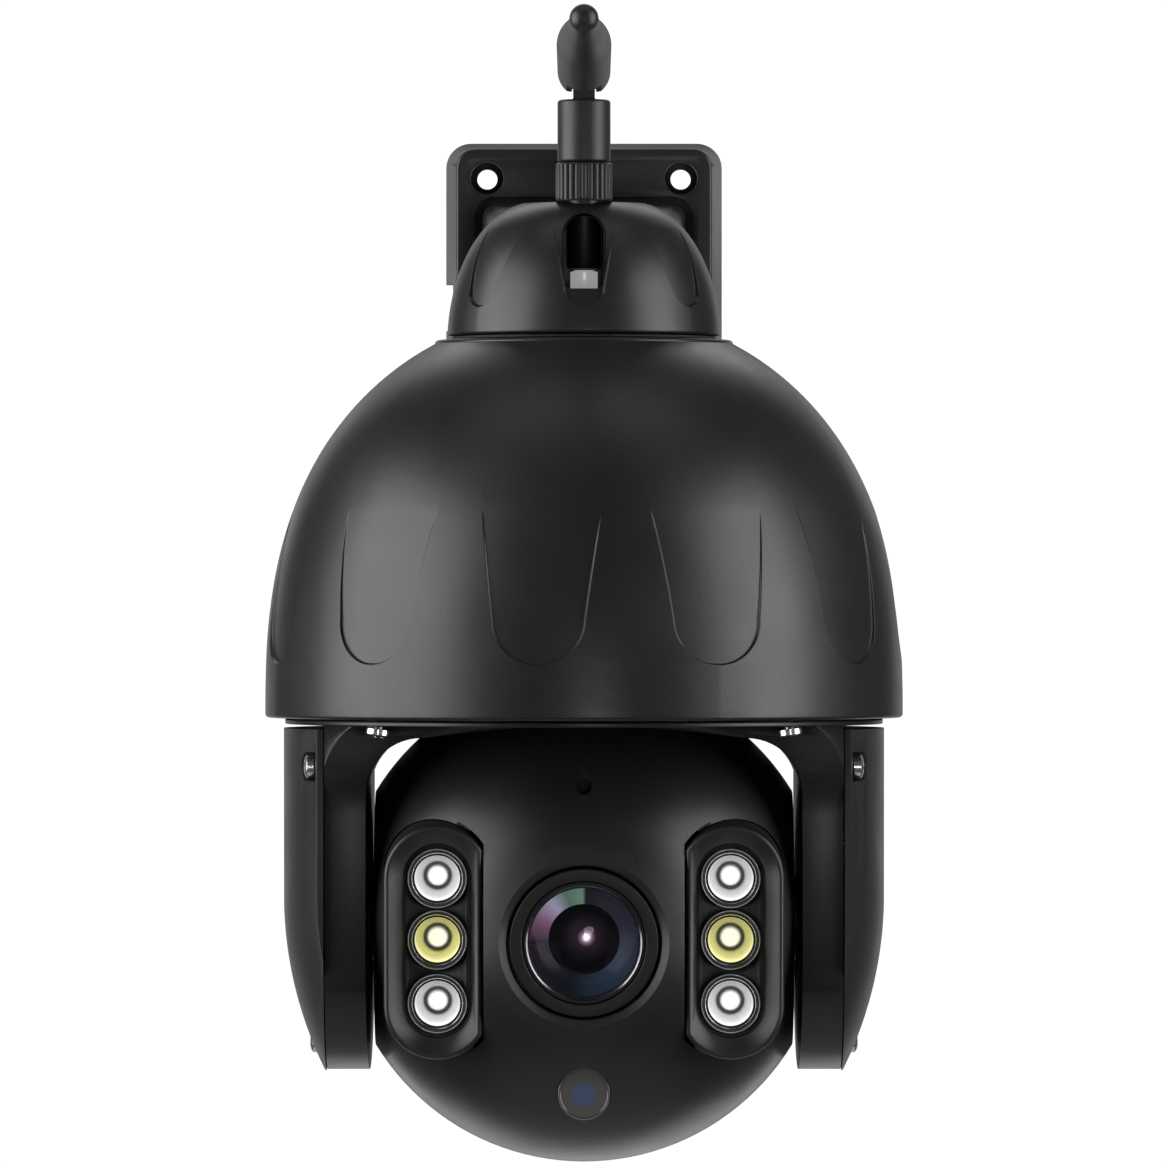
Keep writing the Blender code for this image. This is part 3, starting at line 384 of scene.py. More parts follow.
def blend_colours(tree, factor, first, second):
    """Mix of two colours, each a tuple or a socket."""
    node = tree.nodes.new("ShaderNodeMix")
    node.data_type = "RGBA"
    tree.links.new(factor, node.inputs["Factor"])
    for socket, value in ((node.inputs[6], first), (node.inputs[7], second)):
        if isinstance(value, tuple):
            socket.default_value = (*value, 1.0)
        else:
            tree.links.new(value, socket)
    return node.outputs[2]


def shade(rgb, amount):
    return tuple(min(1.0, channel * amount) for channel in rgb)


def add_bump(tree, height, strength, distance):
    shader = tree.nodes["Principled BSDF"]
    bump = tree.nodes.new("ShaderNodeBump")
    bump.inputs["Strength"].default_value = strength
    bump.inputs["Distance"].default_value = distance
    tree.links.new(height, bump.inputs["Height"])
    tree.links.new(bump.outputs["Normal"], shader.inputs["Normal"])


def finish(name, rgb, roughness, metallic=0.0, grain=1500.0, bump=0.05, mottle=0.10, wear=0.5, spread=0.05,
           stretch=(1.0, 1.0, 1.0), **sockets):
    """Painted, moulded or machined surface: grain, mottling, worn edges and uneven gloss."""
    material, tree = new_material(name)
    if tree is None:
        return material
    rgb = tuple(rgb)
    shader = tree.nodes["Principled BSDF"]
    shader.inputs["Metallic"].default_value = metallic
    for socket, value in sockets.items():
        shader.inputs[socket.replace("_", " ")].default_value = value
    coordinates = object_coordinates(tree, stretch)
    fine = noise_texture(tree, coordinates, grain, 4.0)
    broad = noise_texture(tree, coordinates, 42.0, 3.0)
    ground = blend_colours(tree, broad, shade(rgb, 1.0 - mottle), shade(rgb, 1.0 + mottle))
    geometry = tree.nodes.new("ShaderNodeNewGeometry")
    edges = remap(tree, geometry.outputs["Pointiness"], 0.53, 0.60, 0.0, wear)
    worn = blend_colours(tree, edges, ground, shade(rgb, 2.0) if metallic < 0.5 else shade(rgb, 1.15))
    tree.links.new(worn, shader.inputs["Base Color"])
    tree.links.new(remap(tree, broad, 0.25, 0.75, roughness - spread, roughness + spread),
                   shader.inputs["Roughness"])
    add_bump(tree, fine, bump, 0.00025)
    return material


def powder_coat():
    return finish("powder_coat", colours().coat, 0.36, 0.0, grain=1300.0, bump=0.10)


def moulded_black():
    return finish("moulded_black", colours().moulded, 0.40, grain=2600.0, bump=0.08)


def antenna_black():
    return finish("antenna_black", colours().whip, 0.44, grain=3000.0, bump=0.12)


def lens_black():
    return finish("lens_black_finish", colours().lens_black, 0.42, grain=3500.0, bump=0.04, wear=0.3,
                  Specular_IOR_Level=0.28)


def gloss_black():
    return finish("gloss_black", (0.006, 0.006, 0.0065), 0.14, grain=900.0, bump=0.01, wear=0.0, spread=0.03)


def trim_ring():
    return finish("trim_ring", (0.20, 0.20, 0.21), 0.22, 1.0, grain=1800.0, bump=0.01, mottle=0.03, wear=0.1,
                  spread=0.03)


def smoked_ring():
    return finish("smoked_ring", (0.045, 0.045, 0.045), 0.16, grain=1500.0, bump=0.01, wear=0.2, spread=0.03)


def deep_black():
    return finish("deep_black", (0.003, 0.003, 0.003), 0.6, grain=2500.0, bump=0.05, wear=0.0)


def bright_steel():
    return finish("bright_steel_finish", colours().steel, 0.24, 1.0, grain=4200.0, bump=0.05, mottle=0.05, wear=0.2)


def machined_steel():
    return finish("machined_steel_finish", shade(tuple(colours().steel), 0.8), 0.34, 1.0, grain=900.0, bump=0.10,
                  mottle=0.08, wear=0.3, stretch=(1.0, 1.0, 9.0))


def nickel():
    # the emission is a painted glow that brightens the connector as if lit
    return finish("nickel_plate_painted_glow", colours().nickel, 0.34, 0.45, grain=3000.0, bump=0.03, mottle=0.04, wear=0.2,
                  Emission_Color=(0.9, 0.9, 0.92, 1.0), Emission_Strength=0.30)


def brass():
    return finish("machined_brass", colours().brass, 0.30, 1.0, grain=2200.0, bump=0.06, mottle=0.08, wear=0.3)


def nylon():
    return finish("natural_nylon", colours().nylon, 0.45, grain=1800.0, bump=0.05, mottle=0.04, wear=0.0,
                  Subsurface_Weight=0.1, Subsurface_Scale=0.002)


def rubber():
    return finish("gasket_rubber_finish", (0.018, 0.018, 0.018), 0.75, grain=1600.0, bump=0.2, wear=0.2)


def circuit_board():
    """Green mask over fine copper tracks."""
    material, tree = new_material("circuit_board_finish")
    if tree is None:
        return material
    shader = tree.nodes["Principled BSDF"]
    coordinates = object_coordinates(tree)
    tracks = tree.nodes.new("ShaderNodeTexBrick")
    tracks.inputs["Scale"].default_value = 260.0
    tracks.inputs["Mortar Size"].default_value = 0.06
    tracks.inputs["Color1"].default_value = (*colours().board, 1.0)
    tracks.inputs["Color2"].default_value = (*shade(tuple(colours().board), 0.8), 1.0)
    tracks.inputs["Mortar"].default_value = (0.10, 0.30, 0.10, 1.0)
    tree.links.new(coordinates, tracks.inputs["Vector"])
    tree.links.new(tracks.outputs["Color"], shader.inputs["Base Color"])
    mottle = noise_texture(tree, coordinates, 300.0)
    tree.links.new(remap(tree, mottle, 0.3, 0.7, 0.3, 0.5), shader.inputs["Roughness"])
    add_bump(tree, tracks.outputs["Fac"], 0.2, 0.0001)
    return material


def clear_rim():
    return finish("clear_rim", (0.32, 0.32, 0.33), 0.10, 0.0, grain=1200.0, bump=0.02, mottle=0.05, wear=1.0,
                  spread=0.03, Coat_Weight=1.0, Coat_Roughness=0.05)


def lens_glass():
    """Clear front glass that bends light little, so that the coated ring and its painted reflection show through it.
    """
    return finish("lens_glass_finish", (0.86, 0.86, 0.88), 0.02, 0.0, grain=500.0, bump=0.0, mottle=0.01, wear=0.0,
                  spread=0.01, Transmission_Weight=1.0, IOR=1.25)


# the lens axis meets the coated ring this far below the tilt axis; the painted reflection on that ring turns about
# this point
PAINTED_REFLECTION_CENTRE_DROP = 4.2 * MM
# painted reflection round the lens axis: a softbox's violet and green wedge at the upper left and a blue arc below,
# over the coating's own deep tint
PAINTED_REFLECTION_STOPS = (
    (0.00, (0.020, 0.014, 0.024)), (0.20, (0.008, 0.010, 0.013)), (0.28, (0.018, 0.028, 0.046)),
    (0.42, (0.028, 0.040, 0.066)), (0.52, (0.024, 0.028, 0.046)), (0.66, (0.026, 0.024, 0.036)),
    (0.745, (0.018, 0.016, 0.025)), (0.755, (0.170, 0.300, 0.230)), (0.81, (0.120, 0.200, 0.150)),
    (0.86, (0.420, 0.380, 0.560)), (0.92, (0.240, 0.120, 0.210)), (1.00, (0.022, 0.012, 0.022)),
)


def painted_reflection_ring():
    """Inner element with a painted reflection over its coating tint: violet and green at the upper left and blue
    below, glowing through emission.
    """
    material, tree = new_material("lens_coating_painted_reflection")
    if tree is None:
        return material
    shader = tree.nodes["Principled BSDF"]
    source = tree.nodes.new("ShaderNodeTexCoord")
    shift = tree.nodes.new("ShaderNodeMapping")
    shift.inputs["Location"].default_value = -TILT
    tree.links.new(source.outputs["Object"], shift.inputs["Vector"])
    split = tree.nodes.new("ShaderNodeSeparateXYZ")
    tree.links.new(shift.outputs["Vector"], split.inputs["Vector"])
    angle = tree.nodes.new("ShaderNodeMath")
    angle.operation = "ARCTAN2"
    lifted = tree.nodes.new("ShaderNodeMath")
    lifted.operation = "ADD"
    lifted.inputs[1].default_value = PAINTED_REFLECTION_CENTRE_DROP
    tree.links.new(split.outputs["Z"], lifted.inputs[0])
    tree.links.new(lifted.outputs[0], angle.inputs[0])
    tree.links.new(split.outputs["X"], angle.inputs[1])
    turn = remap(tree, angle.outputs[0], -pi, pi, 0.0, 1.0)
    ramp = tree.nodes.new("ShaderNodeValToRGB")
    fill_ramp(ramp.color_ramp, PAINTED_REFLECTION_STOPS)
    tree.links.new(turn, ramp.inputs["Fac"])
    fine = noise_texture(tree, shift.outputs["Vector"], 90.0)
    tint = blend_colours(tree, remap(tree, fine, 0.3, 0.7, 0.0, 0.2), ramp.outputs["Color"], (0.006, 0.006, 0.009))
    tree.links.new(tint, shader.inputs["Base Color"])
    # the painted reflection glows through emission
    tree.links.new(tint, shader.inputs["Emission Color"])
    shader.inputs["Emission Strength"].default_value = 0.7
    shader.inputs["Specular IOR Level"].default_value = 0.1
    tree.links.new(remap(tree, fine, 0.3, 0.7, 0.18, 0.26), shader.inputs["Roughness"])
    return material


def fill_ramp(ramp, stops):
    while len(ramp.elements) < len(stops):
        ramp.elements.new(0.5)
    for element, (position, rgb) in zip(ramp.elements, stops):
        element.position = position
        element.color = (*rgb, 1.0)


def radial_glass(name, centre, stops, reach, roughness, glow=0.0):
    """Glossy glass or plating whose tint changes with the distance from a point; with glow the tint also emits, as a
    painted glow.
    """
    material, tree = new_material(name)
    if tree is None:
        return material
    shader = tree.nodes["Principled BSDF"]
    source = tree.nodes.new("ShaderNodeTexCoord")
    distance = tree.nodes.new("ShaderNodeVectorMath")
    distance.operation = "DISTANCE"
    distance.inputs[1].default_value = centre
    tree.links.new(source.outputs["Object"], distance.inputs[0])
    ramp = tree.nodes.new("ShaderNodeValToRGB")
    fill_ramp(ramp.color_ramp, stops)
    tree.links.new(remap(tree, distance.outputs["Value"], 0.0, reach, 0.0, 1.0), ramp.inputs["Fac"])
    fine = noise_texture(tree, source.outputs["Object"], 80.0)
    tree.links.new(ramp.outputs["Color"], shader.inputs["Base Color"])
    tree.links.new(remap(tree, fine, 0.3, 0.7, roughness * 0.7, roughness * 1.3), shader.inputs["Roughness"])
    shader.inputs["Coat Weight"].default_value = 1.0
    shader.inputs["Coat Roughness"].default_value = 0.03
    # glow makes the tint emit: a painted glow in place of lit reflection
    if glow:
        tree.links.new(ramp.outputs["Color"], shader.inputs["Emission Color"])
        shader.inputs["Emission Strength"].default_value = glow
    return material


def lamp_stops(painted_light_levels, warm):
    """Ramp stops of painted light and shade from grey values, tinted yellow for the warm lamps."""
    tint = (1.0, 0.97, 0.46) if warm else (1.0, 1.0, 1.0)
    return tuple((place, tuple(level * part ** (1.5 - 0.5 * level) for part in tint)) for place, level in painted_light_levels)


# ---------------------------------------------------------------- petals

def smooth_step(value):
    value = min(1.0, max(0.0, value))
    return value * value * (3 - 2 * value)


class Petal:
    """U shaped recess: straight legs that fade out at the top and a round bottom."""

    def __init__(self, top, top_half, bend, bend_half, bottom, depth):
        self.top, self.top_half = top, top_half
        self.bend, self.bend_half = bend, bend_half
        self.bottom, self.depth = bottom, depth

    def half_width(self, height, grow=0.0):
        """Half width of the outline at a height, with the outline moved outwards by `grow`."""
        if height >= self.bend:
            share = (height - self.bend) / (self.top - self.bend)
            return self.bend_half + (self.top_half - self.bend_half) * share + grow
        drop = (self.bend - height) / (self.bend - self.bottom + grow)
        return (self.bend_half + grow) * sqrt(max(0.0, 1 - drop * drop))

    def inside(self, across, height):
        """Distance inside the outline, negative outside it."""
        if height >= self.bend:
            return self.half_width(height) - abs(across)
        high = self.bend - self.bottom
        x, z = across / self.bend_half, (self.bend - height) / high
        reach = max(1e-6, sqrt(x * x + z * z))
        slope = sqrt((x / self.bend_half) ** 2 + (z / high) ** 2) / reach
        return (1 - reach) / slope

    def fall(self, across, height, edge):
        """Depth of the recess, growing steadily from nothing at the top."""
        share = min(1.0, max(0.0, (self.top - height) / (self.top - self.bottom)))
        return self.depth * share ** 0.7 * smooth_step((self.inside(across, height) + edge) / (2 * edge))


def petal_columns(sector, inner, outer, guard):
    """Angles across one sector, close together along the petal's two edges."""
    def spread(start, end, count):
        return [start + (end - start) * i / count for i in range(count)]
    outer = min(max(outer, 2 * guard), sector / 2 - 2 * guard)
    inner = min(max(inner, 0.5 * guard), outer - guard)
    far, near = outer + guard, max(inner - guard, 0.3 * inner)
    return (spread(-sector / 2, -far, 4) + [-far] + spread(-outer, -inner, 6) + [-inner]
            + spread(-near, near, 8) + [near] + spread(inner, outer, 6) + [outer]
            + spread(far, sector / 2, 4))


def petal_bell(name, outer, inner, petal, count, turn, matrix, closed=True):
    """Turned shell with recesses: outer rows carry the petals, inner rows are plain."""
    edge = sizes().petal_edge
    sector = tau / count
    rings = []
    for plain, rows in ((False, outer), (True, inner)):
        for radius, height in rows:
            if radius < 1e-6:
                rings.append([(0.0, 0.0, height)])
                continue
            guard = min(0.7 * edge / radius, sector / 14)
            near, far = petal.half_width(height, -edge) / radius, petal.half_width(height, edge) / radius
            ring = []
            for number in range(count):
                middle = number * sector + turn
                for angle in petal_columns(sector, near, far, guard):
                    fall = 0.0 if plain else petal.fall(angle * radius, height, edge)
                    reach = radius - fall
                    ring.append((reach * sin(middle + angle), -reach * cos(middle + angle), height))
            rings.append(ring)
    return rings_mesh(name, rings, matrix, closed, sharp=40.0)


# ---------------------------------------------------------------- bracket

BASE_FRONT = -0.0140
HOLE_X, HOLE_Z = 0.0252, 0.0335


def build_wall_base():
    size = size_of("wall_base")
    lean_x, lean_z = 2.8 * MM, 1.9 * MM
    corner = 6.5 * MM
    back = rounded_rectangle(size.x, size.z, corner)
    front = rounded_rectangle(size.x - 2 * lean_x, size.z - 2 * lean_z, corner - 1.6 * MM)
    rings = [front_ring(back, 0.0)]
    steps = 4
    for i in range(steps + 1):
        # the side meets the face in a small round
        share = i / steps
        inset = 0.7 * MM * (1 - cos(share * pi / 2))
        depth = BASE_FRONT + 0.7 * MM * (1 - sin(share * pi / 2))
        ring = [(x * (1 - inset / 0.034), depth, z * (1 - inset / 0.041)) for x, z in front]
        rings.append(ring)
    base = rings_mesh("wall_plate", rings)
    rib, pocket_x, pocket_z, depth = 8 * MM, 26 * MM, 52 * MM, 10 * MM
    for side in (-1, 1):
        pocket = rounded_rectangle(pocket_x, pocket_z, 2 * MM, (side * (rib + pocket_x) / 2, 0.0))
        cut(base, slab("pocket", pocket, -depth, 0.002))
    recess = rounded_rectangle(56.6 * MM, 57.0 * MM, 5.0 * MM)
    cut(base, slab("recess", recess, BASE_FRONT - 0.002, BASE_FRONT + 0.002))
    notch = [(-0.045, -0.006), (-0.028, -0.006), (-0.028, 0.006), (-0.045, 0.006)]
    cut(base, slab("notch", notch, -0.009, 0.002))
    cut(base, drum("wire_hole", 6 * MM, -0.005, 0.03, Matrix.Translation((-0.0125, 0, 0)) @ FORWARD))
    for side_x in (-1, 1):
        for side_z in (-1, 1):
            spot = Matrix.Translation((side_x * HOLE_X, 0, side_z * HOLE_Z)) @ FORWARD
            well = [(0.0, 0.02), (4.3 * MM, 0.02), (4.3 * MM, 0.0045), (2.65 * MM, 0.0045), (2.65 * MM, -0.002),
                    (0.0, -0.002)]
            cut(base, lathe("well", well, spot, 40))
        cut(base, drum("thread", 2.2 * MM, -0.002, 0.02,
                       Matrix.Translation((0.017, 0, side_x * 0.017)) @ FORWARD, 24))
    soften(base, 0.45 * MM, 2)
    fit(base, "bracket", "cast_paint", powder_coat(), "wall_base")


CAP_BEND = (12.0 * MM, -12.0 * MM)       # centre of the cap's quarter ellipse
CAP_REACH = (22.2 * MM, 35.5 * MM)


def cap_rows(inset, low, high, steps):
    """Rows down the cap's quarter ellipse, from its flat top to its rim."""
    reach_r, reach_z = CAP_REACH[0] - inset, CAP_REACH[1] - inset
    start = asin(min(1.0, (high - CAP_BEND[1]) / reach_z))
    end = asin((low - CAP_BEND[1]) / reach_z)
    rows = []
    for i in range(steps + 1):
        angle = start + (end - start) * i / steps
        rows.append((CAP_BEND[0] + reach_r * cos(angle), CAP_BEND[1] + reach_z * sin(angle)))
    return rows


def build_cap():
    top, rim, wall = 23.0 * MM, -10.0 * MM, 3.0 * MM
    sides = cap_rows(0.0, rim + 0.8 * MM, top, 72)
    crown = [(0.0, top + 0.05 * MM), (4 * MM, top + 0.05 * MM), (11 * MM, top + 0.04 * MM), (14.5 * MM, top)]
    edge = sides[-1][0]
    lip = arc((edge - 0.8 * MM, rim + 0.8 * MM), 0.8 * MM, -0.2, -pi / 2, 4)
    inner = list(reversed(cap_rows(wall, rim, top - wall, 12))) + [(0.0, top - wall)]
    petal = Petal(16.5 * MM, 7.8 * MM, 1.0 * MM, 5.0 * MM, -3.1 * MM, sizes().cap_recess)
    cap = petal_bell("bracket_cap", crown + sides + lip, inner, petal, sizes().cap_petals, 0.0, AT_PAN, False)
    back = FOLD.y + 6.0 * MM
    block = slab("channel", rounded_rectangle(14 * MM, 21 * MM, 2 * MM, (0.0, 10.0 * MM)), PAN.y - 0.030, back)
    trim = [(0.0, top - 1.5 * MM)] + cap_rows(1.5 * MM, rim + 2.0 * MM, top - 1.5 * MM, 20) + [(0.0, rim + 2.0 * MM)]
    cut(block, lathe("trim", trim, AT_PAN, 72), "INTERSECT")
    cut(cap, block, "UNION")
    half = 4.85 * MM
    low, high = 1.0 * MM, 19.3 * MM
    slot = [(-half, low + MM), (-half + MM, low), (half - MM, low), (half, low + MM)]
    slot += arc((0, high - half), half, 0, pi, 24)
    lip = slab("lip", rounded_rectangle(10.9 * MM, 19.6 * MM, 5.4 * MM, (0.0, 10.1 * MM), 12), FOLD.y - 0.03, PAN.y)
    core = [(0.0, top)] + cap_rows(0.9 * MM, rim + MM, top - 0.9 * MM, 48) + [(0.0, rim + MM)]
    cut(lip, lathe("core", core, AT_PAN, 144))
    cut(cap, lip)
    cut(cap, slab("slot", slot, FOLD.y - 0.03, FOLD.y + 4.6 * MM))
    cut(cap, drum("mast_hole", 4.6 * MM, 0.017, 0.03, AT_MAST, 48))
    cut(cap, drum("jack_hole", 2.7 * MM, -0.02, 0.002, AT_MAST, 32))
    shade_edges(cap, 40)
    fit(cap, "bracket", "cast_paint", powder_coat(), "bracket_arm")


def build_arm():
    root_y = BASE_FRONT + 0.002 - 0.3 * MM
    nose_y = PAN.y + 0.030
    root = (53.0 * MM, 53.8 * MM)
    nose = (43.0 * MM, 26.0 * MM)
    lift = 7.2 * MM
    rings = []
    rows = [(0.0, 1.2), (0.006, 0.35), (0.02, 0.1), (0.05, 0.0), (0.15, 0.0), (0.3, 0.0), (0.5, 0.0), (0.75, 0.0),
            (1.0, 0.0)]
    for share, shrink in rows:
        width = root[0] + (nose[0] - root[0]) * share - shrink * MM
        height = root[1] + (nose[1] - root[1]) * share - shrink * MM
        corner = 3.6 * MM + 2.0 * MM * share
        outline = rounded_rectangle(width, height, corner, (0.0, lift * share))
        rings.append(front_ring(outline, root_y + (nose_y - root_y) * share))
    arm = rings_mesh("bracket_beam", rings)
    passage = rounded_rectangle(34 * MM, 16 * MM, 3 * MM, (0.0, 7.5 * MM))
    cut(arm, slab("passage", passage, nose_y - 0.01, root_y - 0.008))
    cut(arm, drum("wire_hole", 6 * MM, -0.02, 0.03, Matrix.Translation((-0.0125, 0, 0)) @ FORWARD, 40))
    trim = lathe("inside", [(0.0, 24 * MM)] + cap_rows(1.5 * MM, -11.9 * MM, 22.0 * MM, 20) + [(0.0, -11.9 * MM)],
                 AT_PAN, 96)
    cut(arm, trim)
    fit(arm, "bracket", "cast_paint", powder_coat())


# ---------------------------------------------------------------- dome

def build_dome():
    low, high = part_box("dome_shell")
    rim, top = low.z, high.z
    radius, rise, wall = 79.7 * MM, 102.3 * MM, 2.5 * MM

    def crown(height, inset=0.0):
        share = (height - rim) / (rise - inset)
        return (radius - inset) * (1 - share ** 2.593) ** (1 / 2.037)

    petal = Petal(-54.0 * MM, 14.8 * MM, -80.7 * MM, 11.5 * MM, -91.6 * MM, sizes().dome_recess)
    heights = spaced(top - 0.9 * MM, petal.top, 22) + spaced(petal.top, petal.bend, 34)
    heights += spaced(petal.bend, petal.bottom - 0.6 * MM, 52) + spaced(petal.bottom - 0.6 * MM, rim + 1.0 * MM, 6)
    shoulder = crown(top - 0.9 * MM)
    outer = [(28.2 * MM, top), (33.0 * MM, top)]
    outer += [(shoulder - 0.9 * MM + 0.9 * MM * sin(a), top - 0.9 * MM * (1 - cos(a)))
              for a in (0.0, 0.4, 0.8, 1.2)]
    outer += [(crown(h), h) for h in heights]
    outer += arc((crown(rim + MM) - MM, rim + MM), MM, 0.0, -pi / 2, 5)
    inner_heights = spaced(rim, top - wall - MM, 24) + [top - wall - MM]
    inner = [(crown(h, wall), h) for h in inner_heights] + [(28.0 * MM, top - wall - MM)]
    dome = petal_bell("dome_housing", outer, inner, petal, sizes().dome_petals, radians(-8.2), AT_PAN)
    fit(dome, "bracket", "cast_paint", powder_coat(), "dome_shell")


def spaced(start, end, count):
    return [start + (end - start) * i / count for i in range(count)]


# ---------------------------------------------------------------- fork and covers

DISC_TOP = -105.6 * MM
DISC_UNDER = -106.9 * MM
ARM_INNER = 53.9 * MM
ARM_OUTER = 64.0 * MM
ARM_HALF = 34.5 * MM
ARM_END = 37.8 * MM
COVER_TOP = -107.9 * MM
COVER_HALF = 36.0 * MM
COVER_END = 38.1 * MM
COVER_RADIUS = 75.0 * MM
COVER_SCREWS = ((-30.5 * MM, -117.1 * MM), (30.5 * MM, -117.1 * MM), (0.0, -186.2 * MM))
SCREW_SEATS = (66.3 * MM, 66.3 * MM, 65.6 * MM)
YOKE_SCREW = (50.5 * MM, 48.0 * MM)


def fork_outline():
    """Upside down U: shallow arch, round inner corners, straight arms."""
    low = TILT.z - 45 * MM
    corner = 14.0 * MM
    shoulder = DISC_TOP - 4.3 * MM
    reach = ARM_INNER - corner
    arch = []
    steps = 24
    for i in range(1, steps):
        x = -reach + 2 * reach * i / steps
        arch.append((x, shoulder + 3.0 * MM * (1 - (x / reach) ** 2)))
    left = arc((-reach, shoulder - corner), corner, pi, pi / 2, 14)
    right = arc((reach, shoulder - corner), corner, pi / 2, 0, 14)
    start = [(-ARM_OUTER, DISC_TOP), (-ARM_OUTER, low), (-ARM_INNER, low)]
    return start + left + arch + right + [(ARM_INNER, low), (ARM_OUTER, low), (ARM_OUTER, DISC_TOP)]


def arm_outline(half, end, top, flare=0.0, steps=40):
    """Side of an arm: round lower end about the tilt axis, flared where it meets the disc."""
    sink = sqrt(max(end ** 2 - half ** 2, 0.0))
    points = arc((0.0, TILT.z), end, atan2(-sink, -half), atan2(-sink, half), steps)
    if flare:
        points += arc((half + flare, top - flare), flare, pi, pi / 2, 18)
        points += arc((-half - flare, top - flare), flare, pi / 2, 0, 18)
        return points
    return points + [(half, top), (-half, top)]


def build_fork():
    fork = slab("fork", fork_outline(), -0.075, 0.075, matrix=AT_PAN)
    side = arm_outline(ARM_HALF, ARM_END, DISC_TOP + 2 * MM, 26 * MM)
    for side_x in (-1, 1):
        # the inner faces lean in a little towards the back
        lean = [(x * side_x, y) for x, y in ((ARM_INNER + MM, -0.034), (ARM_INNER, -0.033),
                                             (ARM_INNER - 0.9 * MM, 0.0345), (ARM_INNER + MM, 0.0345))]
        rings = [[(x, y, z) for x, y in lean] for z in (TILT.z - 0.045, DISC_TOP - 0.012)]
        cut(fork, rings_mesh("lean", rings, AT_PAN), "UNION")
    cut(fork, slab("side", side, -0.08, 0.08, "side", AT_PAN), "INTERSECT")
    cut(fork, drum("round", 74.3 * MM, TILT.z - 0.05, DISC_TOP, AT_PAN, 160), "INTERSECT")
    soften(fork, sizes().casting_edge, 3)
    disc = eased([(0.0, DISC_TOP), (74.7 * MM, DISC_TOP), (74.7 * MM, DISC_UNDER), (0.0, DISC_UNDER)], 0.4 * MM)
    cut(fork, lathe("disc", disc, AT_PAN, 160), "UNION")
    cut(fork, drum("ceiling", 42 * MM, DISC_UNDER, DISC_UNDER + 0.018, AT_PAN, 96), "UNION")
    dish = ball_half("dish", 62.5 * MM, FLAT + 0.6 * MM, 0.07, True)
    cut(fork, dish)
    for side_x in (-1, 1):
        inset = 3 * MM
        pocket = arm_outline(ARM_HALF - inset, ARM_END - inset, COVER_TOP - 6 * MM)
        low = side_x * (ARM_INNER + 4.5 * MM)
        cut(fork, slab("pocket", pocket, low, low + side_x * 0.02, "side", AT_PAN))
        bore = AT_TILT @ SIDEWAYS[side_x]
        cut(fork, drum("bearing_bore", 11.3 * MM, 0.04, 0.07, bore, 48))
        for side_y in (-1, 1):
            spot = Matrix.Translation((side_x * YOKE_SCREW[0], PAN.y + side_y * YOKE_SCREW[1], 0))
            cut(fork, drum("screw_seat", 3.6 * MM, DISC_UNDER - 0.03, DISC_UNDER, spot, 36))
    fit(fork, "pan_group", "cast_paint", powder_coat(), "yoke")
    build_hub()


def build_hub():
    """Hollow pan hub with a snap ring groove, standing on the fork's ceiling."""
    low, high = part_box("yoke")
    top = high.z
    foot = DISC_UNDER + 0.016
    profile = [(8 * MM, top), (12 * MM, top), (12 * MM, top - 2 * MM), (11.4 * MM, top - 2 * MM),
               (11.4 * MM, top - 3 * MM), (12 * MM, top - 3 * MM), (12 * MM, foot + 3 * MM), (16 * MM, foot),
               (8 * MM, foot)]
    hub = lathe("pan_hub", eased(profile, 0.3 * MM, closed=True), AT_PAN, 72, closed=True)
    fit(hub, "pan_group", "cast_paint", powder_coat())


def cover_reach(height):
    """Outer radius of the covers, curving in towards their foot."""
    start, bend = -149.5 * MM, 98.5 * MM
    if height >= start:
        return COVER_RADIUS
    return COVER_RADIUS - (bend - sqrt(bend ** 2 - (start - height) ** 2))


def cover_block(inset, seam, side_x):
    outline = arm_outline(COVER_HALF - inset, COVER_END - inset, COVER_TOP - inset)
    block = slab("cover", outline, side_x * seam, side_x * (seam + 0.016), "side", AT_PAN)
    low = TILT.z - 0.044
    heights = [COVER_TOP + 0.003] + spaced(-149.5 * MM, low, 20) + [low]
    profile = [(0.0, heights[0])] + [(cover_reach(h) - inset, h) for h in heights] + [(0.0, low)]
    return cut(block, lathe("skin", profile, AT_PAN, 240), "INTERSECT")


def cover_spot(side_x, y, z):
    """Sideways bore at a place on a cover, y measured from the pan axis."""
    return Matrix.Translation((0, PAN.y + y, z)) @ SIDEWAYS[side_x]


def build_cover(name, side_x):
    cover = cover_block(0.0, ARM_OUTER + 0.3 * MM, side_x)
    for (y, z), seat in zip(COVER_SCREWS, SCREW_SEATS):
        spot = cover_spot(side_x, y, z)
        cut(cover, drum("screw_seat", 3.6 * MM, seat, seat + 0.02, spot, 40))
        if y:
            sign = 1 if y > 0 else -1
            notch = [(PAN.y + y, z - 3.6 * MM), (PAN.y + y + sign * 0.009, z - 3.6 * MM),
                     (PAN.y + y + sign * 0.009, z + 3.6 * MM), (PAN.y + y, z + 3.6 * MM)]
            cut(cover, slab("notch", notch, side_x * seat, side_x * (seat + 0.02), "side"))
    soften(cover, sizes().cover_edge, 3, 30)
    hollow = cover_block(2.0 * MM, ARM_OUTER - 3 * MM, side_x)
    for y, z in COVER_SCREWS:
        spot = cover_spot(side_x, y, z)
        cut(hollow, drum("post", 4.8 * MM, 0.05, 0.08, spot, 32))
    cut(cover, hollow)
    for y, z in COVER_SCREWS:
        spot = cover_spot(side_x, y, z)
        cut(cover, drum("hole", 1.9 * MM, 0.05, 0.08, spot, 24))
    cover.name = f"side_{name}"
    fit(cover, "pan_group", "cover_plastic", moulded_black(), name)


